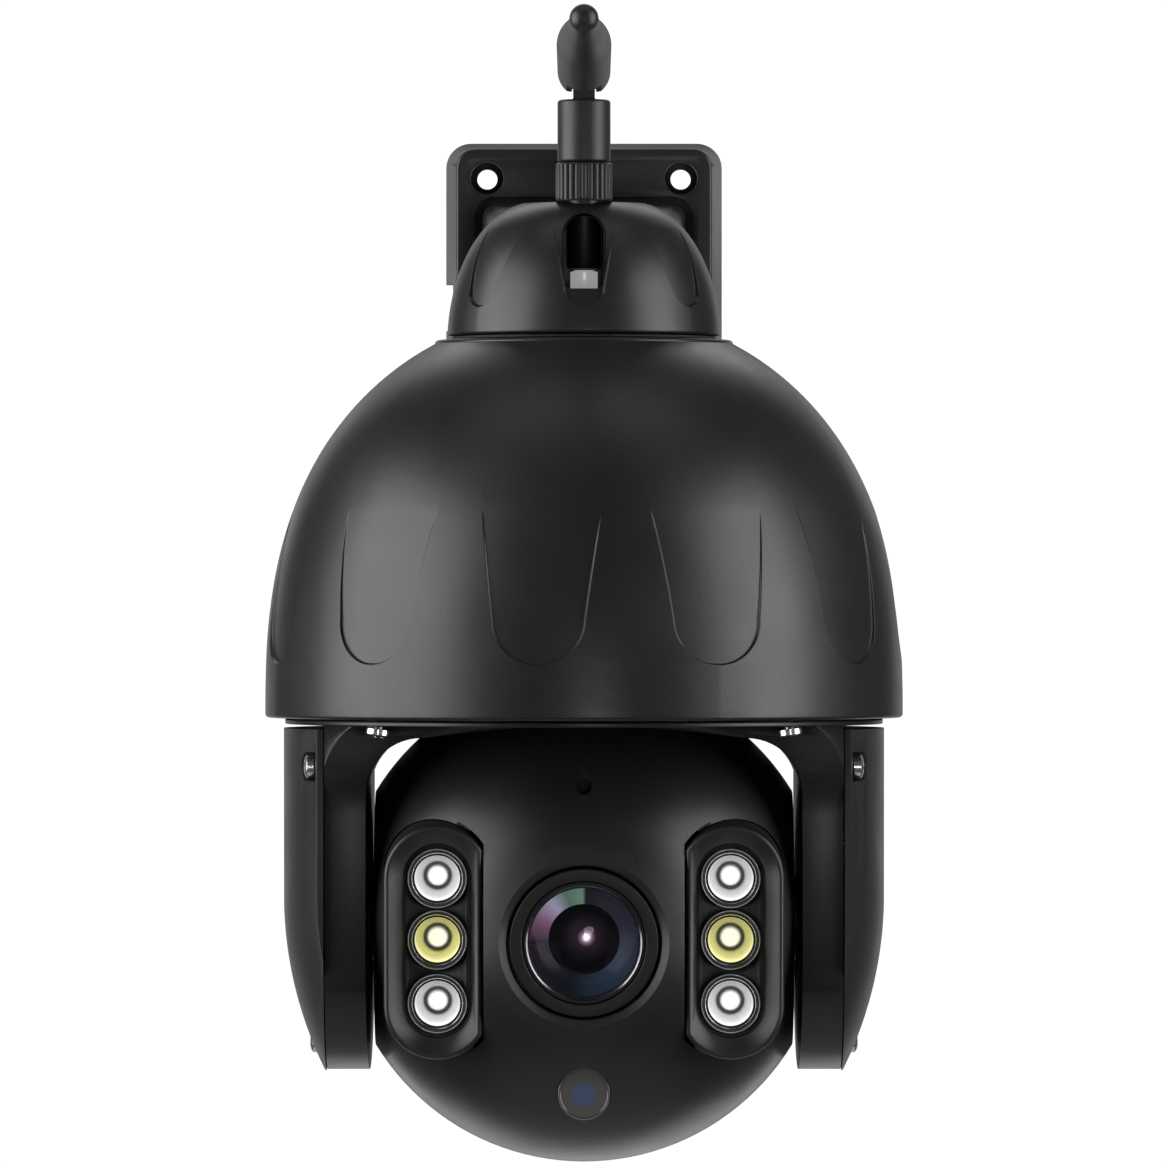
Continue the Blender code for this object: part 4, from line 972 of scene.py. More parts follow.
def screw_mesh(name, radius, height, shank, length):
    """Pan head screw with a cross recess and a threaded shank, its head above z = 0."""
    head = [(0.0, height)] + [(radius * sin(a) * 0.98, height * (0.62 + 0.38 * cos(a))) for a in (0.35, 0.7, 1.05)]
    head += [(radius, height * 0.66), (radius, 0.15 * MM), (radius - 0.15 * MM, 0.0), (shank, 0.0)]
    turns = max(2, ceil(length / (0.8 * MM)))
    for i in range(turns):
        level = -length * i / turns
        head.append((shank, level - 0.01 * MM))
        head.append((shank * 0.8, level - 0.5 * length / turns))
    head += [(shank * 0.6, -length), (0.0, -length)]
    screw = lathe(name, head, Matrix.Identity(4), 40)
    depth = height * 0.62
    for turn in (0.0, pi / 2):
        blade = slab("blade", [(-radius * 0.55, height - depth), (radius * 0.55, height - depth),
                               (radius * 0.62, height + MM), (-radius * 0.62, height + MM)],
                     -radius * 0.13, radius * 0.13, matrix=Matrix.Rotation(turn, 4, "Z"))
        cut(screw, blade)
    shade_edges(screw, 32)
    return screw


def place_screws(name, pattern, spots, slot, body, nodes):
    """Copies of one screw mesh, each turned a little differently as fitted."""
    for number, (spot, node) in enumerate(zip(spots, nodes), start=1):
        mesh = pattern.data.copy()
        mesh.transform(spot @ Matrix.Rotation(0.45 * number, 4, "Z"))
        screw = bpy.data.objects.new(f"{name}_{number}", mesh)
        bpy.context.scene.collection.objects.link(screw)
        fit(screw, body, slot, bright_steel(), node)
    bpy.data.objects.remove(pattern, do_unlink=True)


def build_screws():
    spots = []
    for side_x in (-1, 1):
        for (y, z), seat in zip(COVER_SCREWS, SCREW_SEATS):
            spots.append(Matrix.Translation((side_x * (seat + 0.3 * MM), PAN.y + y, z)) @ SIDEWAYS[side_x])
    pattern = screw_mesh("pattern", 3.0 * MM, 2.6 * MM, 1.2 * MM, 10 * MM)
    place_screws("cover_fixing", pattern, spots, "bright_steel", "pan_group",
                 [f"cover_screw_{n}" for n in range(1, 7)])
    flip = Matrix.Rotation(pi, 4, "X")
    spots = [Matrix.Translation((sx * YOKE_SCREW[0], PAN.y + sy * YOKE_SCREW[1], DISC_UNDER - 0.6 * MM))
             @ Matrix.Rotation(-sx * radians(8), 4, "Y") @ flip for sx in (-1, 1) for sy in (-1, 1)]
    pattern = screw_mesh("pattern", 3.0 * MM, 2.2 * MM, 1.4 * MM, 0.9 * MM)
    place_screws("fork_fixing", pattern, spots, "bright_steel", "pan_group",
                 [f"yoke_screw_{n}" for n in range(1, 5)])
    turn = Matrix.Rotation(-pi / 2, 4, "X")
    spots = [Matrix.Translation((17 * MM, -9.7 * MM, z)) @ turn for z in (-17 * MM, 17 * MM)]
    pattern = screw_mesh("pattern", 3.6 * MM, 2.5 * MM, 1.9 * MM, 8 * MM)
    place_screws("arm_fixing", pattern, spots, "bright_steel", "bracket", ["arm_screw_1", "arm_screw_2"])


# ---------------------------------------------------------------- head

BALL = 60.9 * MM
FLAT = 52.0 * MM
SEAM = 12.0 * MM
SHELL_WALL = 2.5 * MM
MOUTH = 18.8 * MM
POD_X = 36.0 * MM
POD_Z = -0.4 * MM
POD_RADIUS = 13.1 * MM
POD_REACH = 15.8 * MM
POD_INNER_X = 24.9 * MM
POD_FRONT = 52.0 * MM
WINDOW_RADIUS = 8.3 * MM
LAMP_HEIGHTS = (15.0 * MM, -0.2 * MM, -15.9 * MM)
SENSOR_Z = -38.2 * MM
MIC_Z = 37.5 * MM
WARM_LAMP = 2                     # the middle lamp of each pod


def ball_half(name, radius, flat, seam, front):
    """Half of the ball with flat sides, closed at the seam plane."""
    work = bmesh.new()
    bmesh.ops.create_uvsphere(work, u_segments=128, v_segments=72, radius=radius,
                              matrix=Matrix.Rotation(pi / 2, 4, "X"))
    side = 1 if front else -1
    cuts = [((flat, 0, 0), (1, 0, 0)), ((-flat, 0, 0), (-1, 0, 0)), ((0, seam, 0), (0, side, 0))]
    for point, normal in cuts:
        geometry = work.verts[:] + work.edges[:] + work.faces[:]
        result = bmesh.ops.bisect_plane(work, geom=geometry, plane_co=point, plane_no=normal, clear_outer=True)
        rim = [item for item in result["geom_cut"] if isinstance(item, bmesh.types.BMEdge)]
        bmesh.ops.holes_fill(work, edges=rim)
    work.transform(AT_HEAD)
    mesh = bpy.data.meshes.new(name)
    work.to_mesh(mesh)
    work.free()
    return adopt(name, mesh)


def head_lathe(name, profile, **options):
    return lathe(name, profile, AT_HEAD @ FORWARD, **options)


def head_slab(name, outline, low, high):
    return slab(name, outline, -high, -low, matrix=AT_HEAD)


def build_head_shells():
    front = ball_half("head_front", BALL, FLAT, SEAM, True)
    cut(front, ball_half("hollow", BALL - SHELL_WALL, FLAT - SHELL_WALL, SEAM + MM, True))
    edge = sqrt(BALL ** 2 - 20.9 ** 2 * MM ** 2)
    mouth = [(0.0, BALL + 2 * MM), (24.4 * MM, BALL + 2 * MM), (20.9 * MM, edge), (19.1 * MM, edge - 0.9 * MM),
             (MOUTH, edge - 1.4 * MM), (MOUTH, 30 * MM), (0.0, 30 * MM)]
    cut(front, head_lathe("mouth", mouth, steps=128))
    for side_x in (-1, 1):
        cut(front, head_slab("opening", pod_outline(side_x, -0.3 * MM), 24 * MM, 64 * MM))
        cut(front, head_slab("landing", pod_outline(side_x, -1.0 * MM, 0.3 * MM), 44.0 * MM, 64 * MM))
        cut(front, drum("shaft", 6.3 * MM, 0.045, 0.06, AT_HEAD @ SIDEWAYS[side_x], 40))
    cut(front, head_lathe_at("sensor", [(0.0, 0.07), (6.7 * MM, 0.07), (6.7 * MM, 0.03), (0.0, 0.03)], SENSOR_Z))
    skin = sqrt(BALL ** 2 - MIC_Z ** 2)
    mic = [(0.0, skin + 3 * MM), (1.9 * MM, skin + 3 * MM), (1.9 * MM, 0.03), (0.0, 0.03)]
    cut(front, head_lathe_at("mic", mic, MIC_Z))
    shade_edges(front, 25)
    fit(front, "camera_head", "cast_paint", powder_coat(), "head_front_shell")
    rear = ball_half("head_rear", BALL, FLAT, SEAM + 0.04 * MM, False)
    cut(rear, ball_half("hollow", BALL - SHELL_WALL, FLAT - SHELL_WALL, SEAM - MM, False))
    shade_edges(rear, 25)
    fit(rear, "camera_head", "cast_paint", powder_coat(), "head_rear_shell")


def head_lathe_at(name, profile, height, steps=64):
    return lathe(name, profile, AT_HEAD @ Matrix.Translation((0, 0, height)) @ FORWARD, steps)


def pod_outline(side_x, inset=0.0, inner_gap=None, steps=26):
    """Stadium round the lamps, straight on the side towards the lens, drawn in by an inset."""
    radius = POD_RADIUS - inset
    gap = -inset if inner_gap is None else inner_gap
    turn = acos(min(1.0, (POD_X - POD_INNER_X + gap) / radius))
    points = arc((0.0, POD_Z + POD_REACH), radius, turn, pi, steps)
    points += arc((0.0, POD_Z - POD_REACH), radius, pi, tau - turn, steps)
    return [(side_x * (POD_X - x), z) for x, z in points]


def window_outline(side_x, inset=0.0, steps=26):
    radius = WINDOW_RADIUS - inset
    points = arc((0.0, POD_Z + POD_REACH - 0.2 * MM), radius, 0.0, pi, steps)
    points += arc((0.0, POD_Z - POD_REACH + 0.2 * MM), radius, pi, tau, steps)
    return [(side_x * (POD_X - x), z) for x, z in points]


def build_shafts():
    for name, side_x in (("left", -1), ("right", 1)):
        low, high = 44.0 * MM, 63.5 * MM
        profile = [(3 * MM, high), (6 * MM, high), (6 * MM, 53.1 * MM), (10.6 * MM, 53.1 * MM),
                   (10.6 * MM, FLAT + 0.3 * MM), (6 * MM, FLAT + 0.3 * MM), (6 * MM, low), (3 * MM, low)]
        shaft = lathe(f"trunnion_{name}", eased(profile, 0.35 * MM, closed=True), AT_HEAD @ SIDEWAYS[side_x],
                      72, closed=True)
        fit(shaft, "camera_head", "machined_steel", moulded_black(), f"tilt_shaft_{name}")


def build_lens():
    profile = in_mm((15.2, 55.6), (15.8, 56.0), (18.2, 56.0), (18.2, 30),
                    (15.2, 30))
    barrel = head_lathe("lens_tube", eased(profile, 0.25 * MM, closed=True), steps=128, closed=True)
    fit(barrel, "camera_head", "lens_housing", lens_black(), "lens_barrel")
    profile = in_mm((15.2, 54.0), (15.2, 56.8), (15.4, 57.0), (18.0, 57.0),
                    (18.2, 56.8), (18.2, 56.1), (16.2, 56.1), (16.2, 54.0))
    ring = head_lathe("front_ring", eased(profile, 0.2 * MM, closed=True, steps=3), steps=128, closed=True)
    fit(ring, "camera_head", "lens_housing", lens_black(), "lens_retaining_ring")
    bezel = in_mm((13.3, 54.2), (13.4, 55.2), (13.8, 55.9), (14.3, 56.4),
                  (15.0, 56.4), (15.0, 52), (14.0, 52), (14.0, 54.2))
    seat = head_lathe("glass_seat", eased(bezel, 0.2 * MM, closed=True, steps=3), steps=128, closed=True)
    fit(seat, "camera_head", "lens_housing", lens_black())
    trim = in_mm((13.75, 55.9), (13.85, 56.1), (14.02, 56.25), (14.2, 56.42),
                 (14.2, 56.0))
    piece = head_lathe("glass_trim", trim, steps=128, closed=True)
    fit(piece, "camera_head", "lens_housing", trim_ring())
    build_glass()


def build_glass():
    radius = 26.0 * MM
    rim = asin(13.9 * MM / radius)
    steps = 14
    face = [(radius * sin(rim * i / steps), 55.6 * MM - radius * (1 - cos(rim * i / steps)))
            for i in range(steps + 1)]
    back_radius = 34.0 * MM
    back_rim = asin(13.6 * MM / back_radius)
    back = [(back_radius * sin(back_rim * (1 - i / steps)),
             53.6 * MM - back_radius * (1 - cos(back_rim * (1 - i / steps)))) for i in range(steps + 1)]
    glass = head_lathe("front_element", face + back, steps=96)
    fit(glass, "camera_head", "lens_glass", lens_glass(), "lens_front_glass")
    # the coated element carries the painted reflection
    cell = in_mm((8.5, 47.8), (10.8, 49.4), (13.2, 50.6), (13.8, 50.6),
                 (13.8, 48.2), (8.5, 46.8))
    coated = head_lathe("coated_element_painted_reflection", cell, steps=96, closed=True)
    fit(coated, "camera_head", "lens_glass", painted_reflection_ring())
    rows = []
    for i in range(5):
        outer = (8.3 - 0.45 * i) * MM
        level = (47.0 - 0.8 * i) * MM
        rows += [(outer, level), (outer - 0.1 * MM, level - 0.15 * MM), (outer - 0.35 * MM, level - 0.2 * MM)]
    baffle = rows + in_mm((6.2, 38.2), (13.4, 38.2), (13.4, 39.2), (8.3, 39.2))
    zoom = head_lathe("zoom_cell", baffle, steps=96, closed=True)
    fit(zoom, "zoom_lens", "lens_housing", gloss_black(), "zoom_group")
    bead = [(0.0, 44.6 * MM)] + [(6.6 * MM * sin(a), (40.4 + 4.2 * cos(a)) * MM)
                                for a in (0.15, 0.35, 0.6, 0.85, 1.1, 1.35)]
    bead += [(6.6 * MM, 40.3 * MM), (0.0, 40.3 * MM)]
    inner = head_lathe("inner_element", bead, steps=64)
    # painted highlight: a white glowing spot near the centre, fading through a magenta ring, stands for a lamp's
    # reflection on the inner element
    centre = AT_HEAD @ Vector((0.55 * MM, -44.5 * MM, 0))
    stops = ((0.0, (1.0, 1.0, 1.0)), (0.09, (0.9, 0.88, 0.92)), (0.14, (0.32, 0.24, 0.32)),
             (0.22, (0.13, 0.05, 0.10)), (0.32, (0.012, 0.007, 0.012)), (1.0, (0.002, 0.002, 0.003)))
    fit(inner, "zoom_lens", "lens_glass", radial_glass("inner_glass_painted_highlight", centre, stops, 7 * MM, 0.08, 1.2))


def build_pods():
    slope = sizes().pod_slope / MM
    rim = ((0.0, 18.0), (0.0, 1.2), (0.12, 0.55), (0.5, 0.12), (0.9, 0.0), (1.25, 0.12))
    well = ((-0.5, slope - 0.35), (-0.12, slope), (0.0, slope + 0.4), (0.0, 12.0))
    for name, side_x in (("left", -1), ("right", 1)):
        rings = [front_ring(pod_outline(side_x, inset * MM), -POD_FRONT + depth * MM) for inset, depth in rim]
        rings += [front_ring(window_outline(side_x, inset * MM), -POD_FRONT + depth * MM)
                  for inset, depth in well]
        pod = rings_mesh(f"lamp_pod_{name}", rings, AT_HEAD, sharp=50)
        fit(pod, "camera_head", "cover_plastic", moulded_black(), f"led_pod_{name}")
        build_lamp_plate(name, side_x, slope)
        for number, height in enumerate(LAMP_HEIGHTS, start=1):
            build_lamp(name, number, (side_x * POD_X, height), slope)


def build_lamp_plate(name, side_x, slope):
    """Black plate between the lamps, bored for their cups."""
    outline = window_outline(side_x, 0.15 * MM)
    level = POD_FRONT - (slope + 1.2) * MM
    plate = head_slab(f"lamp_plate_{name}", outline, level - 1.2 * MM, level)
    for height in LAMP_HEIGHTS:
        spot = AT_HEAD @ Matrix.Translation((side_x * POD_X, 0, height)) @ FORWARD
        cut(plate, drum("bore", 6.9 * MM, 0.03, 0.06, spot, 64))
    fit(plate, "camera_head", "cover_plastic", deep_black(), f"led_board_{name}")


def build_lamp(name, number, centre, slope):
    """Clear rim, deep cup with painted glow and shade, and the small dome at the bottom of the cup with a painted
    highlight.
    """
    x, z = centre
    spot = AT_HEAD @ Matrix.Translation((x, 0, z)) @ FORWARD
    radius = sizes().lamp_radius
    depth = sizes().lamp_depth
    face = POD_FRONT - (slope + 0.2) * MM
    bottom = face - depth
    warm = number == WARM_LAMP
    slot = "led_warm" if warm else "led_clear"

    def add(title, profile, slot_name, material, *nodes, steps=72, closed=True):
        piece = lathe(f"lamp_{title}_{name}_{number}", profile, spot, steps, closed=closed)
        fit(piece, "camera_head", slot_name, material, *nodes)

    rim = in_mm((6.98, -0.6), (7.02, -0.1), (7.1, 0.0), level=face)
    rim += [(radius - 0.1 * MM, face), (radius, face - 0.3 * MM), (radius - 0.1 * MM, face - 1.1 * MM),
            (6.98 * MM, face - 1.1 * MM)]
    add("rim", eased(rim, 0.08 * MM, closed=True, steps=3), "led_clear", clear_rim())
    band = in_mm((6.44, -0.5), (6.96, -0.4), (6.96, -1.2), (6.44, -1.2), level=face)
    add("band", band, "led_clear", smoked_ring())
    ring = in_mm((6.12, -0.75), (6.28, -0.6), (6.42, -0.75), (6.42, -1.2), (6.12, -1.2), level=face)
    add("ring", ring, "led_clear", bright_steel())
    groove = in_mm((5.6, -0.95), (6.1, -0.95), (6.38, -1.25), (6.38, -1.8), (5.6, -1.8), level=face)
    add("groove", groove, "cover_plastic", deep_black())
    steps = 10
    cup = [(5.75 * MM, face - 1.9 * MM), (6.1 * MM, bottom - 0.4 * MM), (3.3 * MM, bottom - 0.4 * MM)]
    for i in range(steps + 1):
        share = i / steps
        cup.append((3.5 * MM + 2.05 * MM * share ** 0.72, bottom + (depth - 1.0 * MM) * share))
    # painted light and shade: the cup grades from grey deep down to white at its rim, and glows
    painted_light_levels = ((0.0, 0.3), (0.38, 0.40), (0.44, 0.62), (0.75, 0.74), (0.90, 0.92), (1.0, 1.0))
    plating = radial_glass(f"plating_{name}_{number}", spot @ Vector((0, 0, bottom)), lamp_stops(painted_light_levels, warm),
                           9.0 * MM, 0.14, 0.62)
    add("cup", cup, slot, plating, f"led_lens_{name}_{number}")
    collar = in_mm((2.72, 0.2), (3.0, 1.1), (3.45, 0.7), (3.45, -0.3), (2.72, -0.3), level=bottom)
    add("collar", eased(collar, 0.15 * MM, closed=True), "led_clear", smoked_ring(), steps=48)
    bead = [(2.7 * MM * sin(a), bottom - 0.2 * MM + 1.9 * MM * cos(a)) for a in (0.001, 0.3, 0.6, 0.9, 1.2, 1.5)]
    bead = [(0.0, bead[0][1])] + bead[1:] + [(2.7 * MM, bottom - 0.5 * MM), (0.0, bottom - 0.5 * MM)]
    # painted highlight: the small dome is white and glowing at its centre, dimmer towards its edge
    painted_light_levels = ((0.0, 1.0), (0.62, 1.0), (0.80, 0.66), (0.92, 0.42), (1.0, 0.25))
    dome = radial_glass(f"bead_{name}_{number}", spot @ Vector((0, 0, bottom + 1.7 * MM)), lamp_stops(painted_light_levels, False),
                        3.1 * MM, 0.12, 0.6)
    add("bead", bead, slot, dome, steps=48, closed=False)


def build_sensor():
    face = 49.0 * MM
    profile = [(0.0, face - 0.25 * MM), (5.7 * MM, face - 0.25 * MM), (5.9 * MM, face), (6.25 * MM, face),
               (6.4 * MM, face - 0.2 * MM), (6.4 * MM, face - 8 * MM), (0.0, face - 8 * MM)]
    window = head_lathe_at("sensor_window", profile, SENSOR_Z)
    centre = AT_HEAD @ Vector((0, -face, SENSOR_Z))
    stops = ((0.0, (0.028, 0.048, 0.125)), (0.40, (0.028, 0.044, 0.100)), (0.50, (0.042, 0.040, 0.034)),
             (0.86, (0.046, 0.044, 0.038)), (0.90, (0.02, 0.02, 0.02)), (1.0, (0.16, 0.16, 0.16)))
    # the ramp gives the window's tints; its emission adds a faint painted glow
    fit(window, "camera_head", "dark_window", radial_glass("sensor_glass_painted_glow", centre, stops, 6.6 * MM, 0.3, 0.2),
        "light_sensor_window")
    for side_x in (-1, 1):
        tab = in_mm((0.6, 0.0), (0.0, 0.9), (-0.6, 0.0), (0.0, -0.9))
        outline = [(side_x * 6.7 * MM + x, SENSOR_Z + MM + z) for x, z in tab]
        ear = head_slab(f"sensor_clip_{'left' if side_x < 0 else 'right'}", outline, 43 * MM, 47.2 * MM)
        fit(ear, "camera_head", "cast_paint", powder_coat())


# ---------------------------------------------------------------- antenna

def build_antenna():
    low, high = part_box("antenna_nut")
    count = sizes().knurls
    depth = sizes().knurl_depth
    seat = 23.3 * MM

    def knurl(angle, radius, height):
        if radius < 6.9 * MM or height < seat + 0.5 * MM or height > high.z - 0.6 * MM:
            return 0.0
        wave = abs(sin(angle * count / 2))
        return depth * (1 - wave) ** 1.4

    profile = [(0.0, high.z), (6.7 * MM, high.z), (7.1 * MM, high.z - 0.45 * MM), (7.1 * MM, high.z - 0.62 * MM),
               (7.1 * MM, seat + 0.55 * MM), (7.1 * MM, seat + 0.4 * MM), (6.8 * MM, seat), (4.2 * MM, seat),
               (4.2 * MM, 6.9 * MM), (3.8 * MM, 6.3 * MM), (0.0, 6.3 * MM)]
    nut = lathe("knurled_nut", profile, AT_MAST, count * 10, wobble=knurl, sharp=50)
    fit(nut, "antenna_collar", "antenna_plastic", antenna_black(), "antenna_nut")
    jack = in_mm((0.0, 6.0), (2.4, 6.0), (2.6, 5.7), (3.2, 5.7), (3.4, 5.5),
                 (3.4, 1.6), (3.2, 1.3), (2.4, 1.3), (2.4, -6.0), (0.0, -6.0))
    fit(lathe("connector_barrel", jack, AT_MAST, 64), "bracket", "jack_nickel", nickel(), "antenna_jack")
    build_antenna_base(high.z + 0.3 * MM)
    build_whip()


def build_antenna_base(low):
    top = 48.4 * MM
    profile = [(0.0, top + 0.5 * MM), (2.8 * MM, top + 0.5 * MM), (2.9 * MM, top), (6.1 * MM, top),
               (6.6 * MM, top - 0.5 * MM), (6.6 * MM, low + 0.4 * MM), (6.3 * MM, low), (0.0, low)]
    base = lathe("antenna_foot", eased(profile, 0.25 * MM), AT_MAST, 72)
    tongue = [(-2.4 * MM, -8.5 * MM), (2.4 * MM, -8.5 * MM)] + arc((0, 0), 4.2 * MM, -0.6, pi + 0.6, 24)
    cut(base, slab("tongue", tongue, -2.7 * MM, 2.7 * MM, "side", Matrix.Translation(FOLD)), "UNION")
    cut(base, drum("bore", 1.3 * MM, -0.01, 0.01, Matrix.Translation(FOLD) @ SIDEWAYS[1], 24))
    shade_edges(base, 35)
    fit(base, "antenna_swivel_base", "antenna_plastic", antenna_black(), "antenna_base")


WHIP_TAPER = ((3.4, 168.6), (3.46, 163), (3.56, 156), (3.75, 149), (4.0, 142), (4.3, 135), (4.64, 128), (5.0, 121),
              (5.4, 113.5), (5.75, 108), (6.1, 102), (6.35, 97), (6.52, 92), (6.6, 86))


def build_whip():
    rise = radians(1.3)
    radius, tip, length = 6.6 * MM, 3.4 * MM, 172 * MM
    steps = 12
    profile = [(0.0, length)]
    profile += [(tip * cos(a), length - tip * (1 - sin(a)))
                for a in [pi / 2 * (1 - i / steps) for i in range(1, steps)]]
    profile += [(r * MM, along * MM) for r, along in WHIP_TAPER]
    profile += [(radius, 80 * MM * (1 - i / 8)) for i in range(0, 9)]
    end = radius * 0.92
    profile += [(radius * cos(a), -end * sin(a)) for a in [pi / 2 * i / steps for i in range(1, steps)]]
    profile.append((0.0, -end))
    matrix = Matrix.Translation(FOLD) @ Matrix.Rotation(-rise, 4, "X")
    whip = lathe("antenna_blade_shell", profile, matrix @ FORWARD, 72)
    half = 3.0 * MM
    slot = [(-half, -0.02), (half, -0.02), (half, 0.02), (-half, 0.02)]
    cut(whip, slab("slot", slot, -6.5 * MM, 0.02, matrix=matrix))
    flat = [(0.01, -5.0 * MM), (-0.021, -5.0 * MM), (-0.026, -8.0 * MM), (0.01, -8.0 * MM)]
    cut(whip, slab("flat", flat, -0.01, 0.01, "side", matrix))
    cut(whip, drum("bore", 1.3 * MM, -5.3 * MM, 5.3 * MM, matrix @ SIDEWAYS[1], 24))
    shade_edges(whip, 35)
    fit(whip, "antenna_blade", "antenna_plastic", antenna_black(), "antenna_whip")


# ---------------------------------------------------------------- parts inside

def inner_finishes():
    return {
        "machined_steel": machined_steel(), "pinion_brass": brass(), "gear_nylon": nylon(),
        "circuit_board": circuit_board(), "switch_black": moulded_black(), "gasket_rubber": rubber(),
        "bright_steel": bright_steel(), "cast_paint": powder_coat(), "cover_plastic": moulded_black(),
        "lens_housing": lens_black(), "antenna_plastic": antenna_black(), "jack_nickel": nickel(),
        "lens_glass": lens_glass(), "led_clear": clear_rim(), "led_warm": clear_rim(),
        "dark_window": lens_black(),
    }


def finish_frame_nodes():
    """Every frame node takes the finish of its slot; those replaced stay unseen."""
    finishes = inner_finishes()
    for part in frame["record"]["subparts"]:
        node = frame["nodes"][part["node"]]
        node.data.materials.clear()
        # the microphone behind its hole is made near black, painted shade so that the hole reads as deep
        painted_hole_shade = part["node"] == "microphone"
        node.data.materials.append(deep_black() if painted_hole_shade else finishes[part["material_slot"]])


# ---------------------------------------------------------------- stage

FLOOR_Z = -1.9
FOCAL_SHARE = 10300.0 / 1168.0      # focal length over the width of the view
ROOM_GLOW = 0.07
BACKDROP_WHITE = 1.05


def add_area(name, place, target, size, power, tint=(1.0, 1.0, 1.0)):
    light = bpy.data.lights.new(name, "AREA")
    light.shape = "RECTANGLE"
    light.size, light.size_y = size
    light.energy = power
    light.color = tint
    lamp = bpy.data.objects.new(name, light)
    lamp.location = place
    lamp.rotation_euler = (Vector(target) - Vector(place)).to_track_quat("-Z", "Y").to_euler()
    bpy.context.scene.collection.objects.link(lamp)


def add_floor():
    work = bmesh.new()
    bmesh.ops.create_circle(work, cap_ends=True, segments=96, radius=1.2)
    mesh = bpy.data.meshes.new("floor")
    work.to_mesh(mesh)
    work.free()
    floor = bpy.data.objects.new("floor", mesh)
    floor.location = (0.0, PAN.y, FLOOR_Z)
    bpy.context.scene.collection.objects.link(floor)
    mesh.materials.append(finish("pale_floor", colours().backdrop, 0.7, grain=60.0, bump=0.02, mottle=0.01,
                                 wear=0.0))


def add_world():
    """White to the camera, and a dim even glow to everything that reflects it."""
    bpy.context.scene.view_settings.view_transform = "Standard"
    world = bpy.data.worlds.new("studio")
    bpy.context.scene.world = world
    world.use_nodes = True
    tree = world.node_tree
    tree.nodes.clear()
    output = tree.nodes.new("ShaderNodeOutputWorld")
    mix = tree.nodes.new("ShaderNodeMixShader")
    path = tree.nodes.new("ShaderNodeLightPath")
    glow = tree.nodes.new("ShaderNodeBackground")
    white = tree.nodes.new("ShaderNodeBackground")
    glow.inputs["Color"].default_value = (0.95, 0.97, 1.0, 1.0)
    glow.inputs["Strength"].default_value = ROOM_GLOW
    white.inputs["Color"].default_value = (1.0, 1.0, 1.0, 1.0)
    white.inputs["Strength"].default_value = BACKDROP_WHITE
    tree.links.new(path.outputs["Is Camera Ray"], mix.inputs["Fac"])
    tree.links.new(glow.outputs["Background"], mix.inputs[1])
    tree.links.new(white.outputs["Background"], mix.inputs[2])
    tree.links.new(mix.outputs["Shader"], output.inputs["Surface"])


def add_lights():
    studio = bpy.context.scene.camera_studio
    centre = (0.0, PAN.y, -0.09)

    def around(angle, distance, height):
        return (distance * sin(radians(angle)), PAN.y - distance * cos(radians(angle)), height)

    for side in (-1, 1):
        add_area("rim_strip", around(side * 158, 1.1, 0.05), centre, (0.35, 1.3), studio.rim_power)
    add_area("left_box", around(-74, 1.0, 0.07), centre, (1.05, 1.12), studio.left_power)
    add_area("right_box", around(67, 1.0, 0.07), centre, (0.66, 1.12), studio.right_power)
    add_area("back_top", (0.0, PAN.y + 1.1, 0.95), centre, (1.2, 0.6), studio.top_power)
    add_area("overhead", (0.0, PAN.y - 0.2, 1.2), centre, (1.4, 0.6), studio.top_power * 0.5)
    add_area("from_below", (0.0, PAN.y + 0.85, -0.72), centre, (1.0, 0.6), studio.low_power)
    add_area("front_small", (0.16, PAN.y - 2.55, -0.30), centre, (0.3, 0.3), studio.front_power)


def add_camera():
    studio = bpy.context.scene.camera_studio
    camera = bpy.data.cameras.new("view")
    camera.sensor_width = 36.0
    camera.lens = camera.sensor_width * FOCAL_SHARE
    camera.clip_end = 50.0
    viewer = bpy.data.objects.new("view", camera)
    viewer.location = (0.0, PAN.y - studio.distance, studio.eye_height)
    viewer.rotation_euler = (pi / 2, 0.0, 0.0)
    bpy.context.scene.collection.objects.link(viewer)
    bpy.context.scene.camera = viewer


# ---------------------------------------------------------------- operators

class SECCAM_OT_frame_finishes(bpy.types.Operator):
    """Give the working parts inside their finishes"""
    bl_idname = "seccam.frame_finishes"
    bl_label = "Inner Parts"
    bl_options = {"REGISTER", "UNDO"}

    def execute(self, context):
        finish_frame_nodes()
        return {"FINISHED"}


class SECCAM_OT_wall_base(bpy.types.Operator):
    """Build the wall base with its screw wells and cable notch"""
    bl_idname = "seccam.wall_base"
    bl_label = "Wall Base"
    bl_options = {"REGISTER", "UNDO"}

    def execute(self, context):
        build_wall_base()
        return {"FINISHED"}


class SECCAM_OT_arm(bpy.types.Operator):
    """Build the arm, the petalled cap and the antenna slot"""
    bl_idname = "seccam.arm"
    bl_label = "Arm and Cap"
    bl_options = {"REGISTER", "UNDO"}

    def execute(self, context):
        build_arm()
        build_cap()
        return {"FINISHED"}


class SECCAM_OT_dome(bpy.types.Operator):
    """Build the dome housing with its petal recesses"""
    bl_idname = "seccam.dome"
    bl_label = "Dome"
    bl_options = {"REGISTER", "UNDO"}

    def execute(self, context):
        build_dome()
        return {"FINISHED"}


class SECCAM_OT_fork(bpy.types.Operator):
    """Build the turning fork with its disc and hub"""
    bl_idname = "seccam.fork"
    bl_label = "Fork"
    bl_options = {"REGISTER", "UNDO"}

    def execute(self, context):
        build_fork()
        return {"FINISHED"}


class SECCAM_OT_covers(bpy.types.Operator):
    """Build the two outer covers of the fork"""
    bl_idname = "seccam.covers"
    bl_label = "Covers"
    bl_options = {"REGISTER", "UNDO"}

    def execute(self, context):
        build_cover("cover_left", -1)
        build_cover("cover_right", 1)
        return {"FINISHED"}


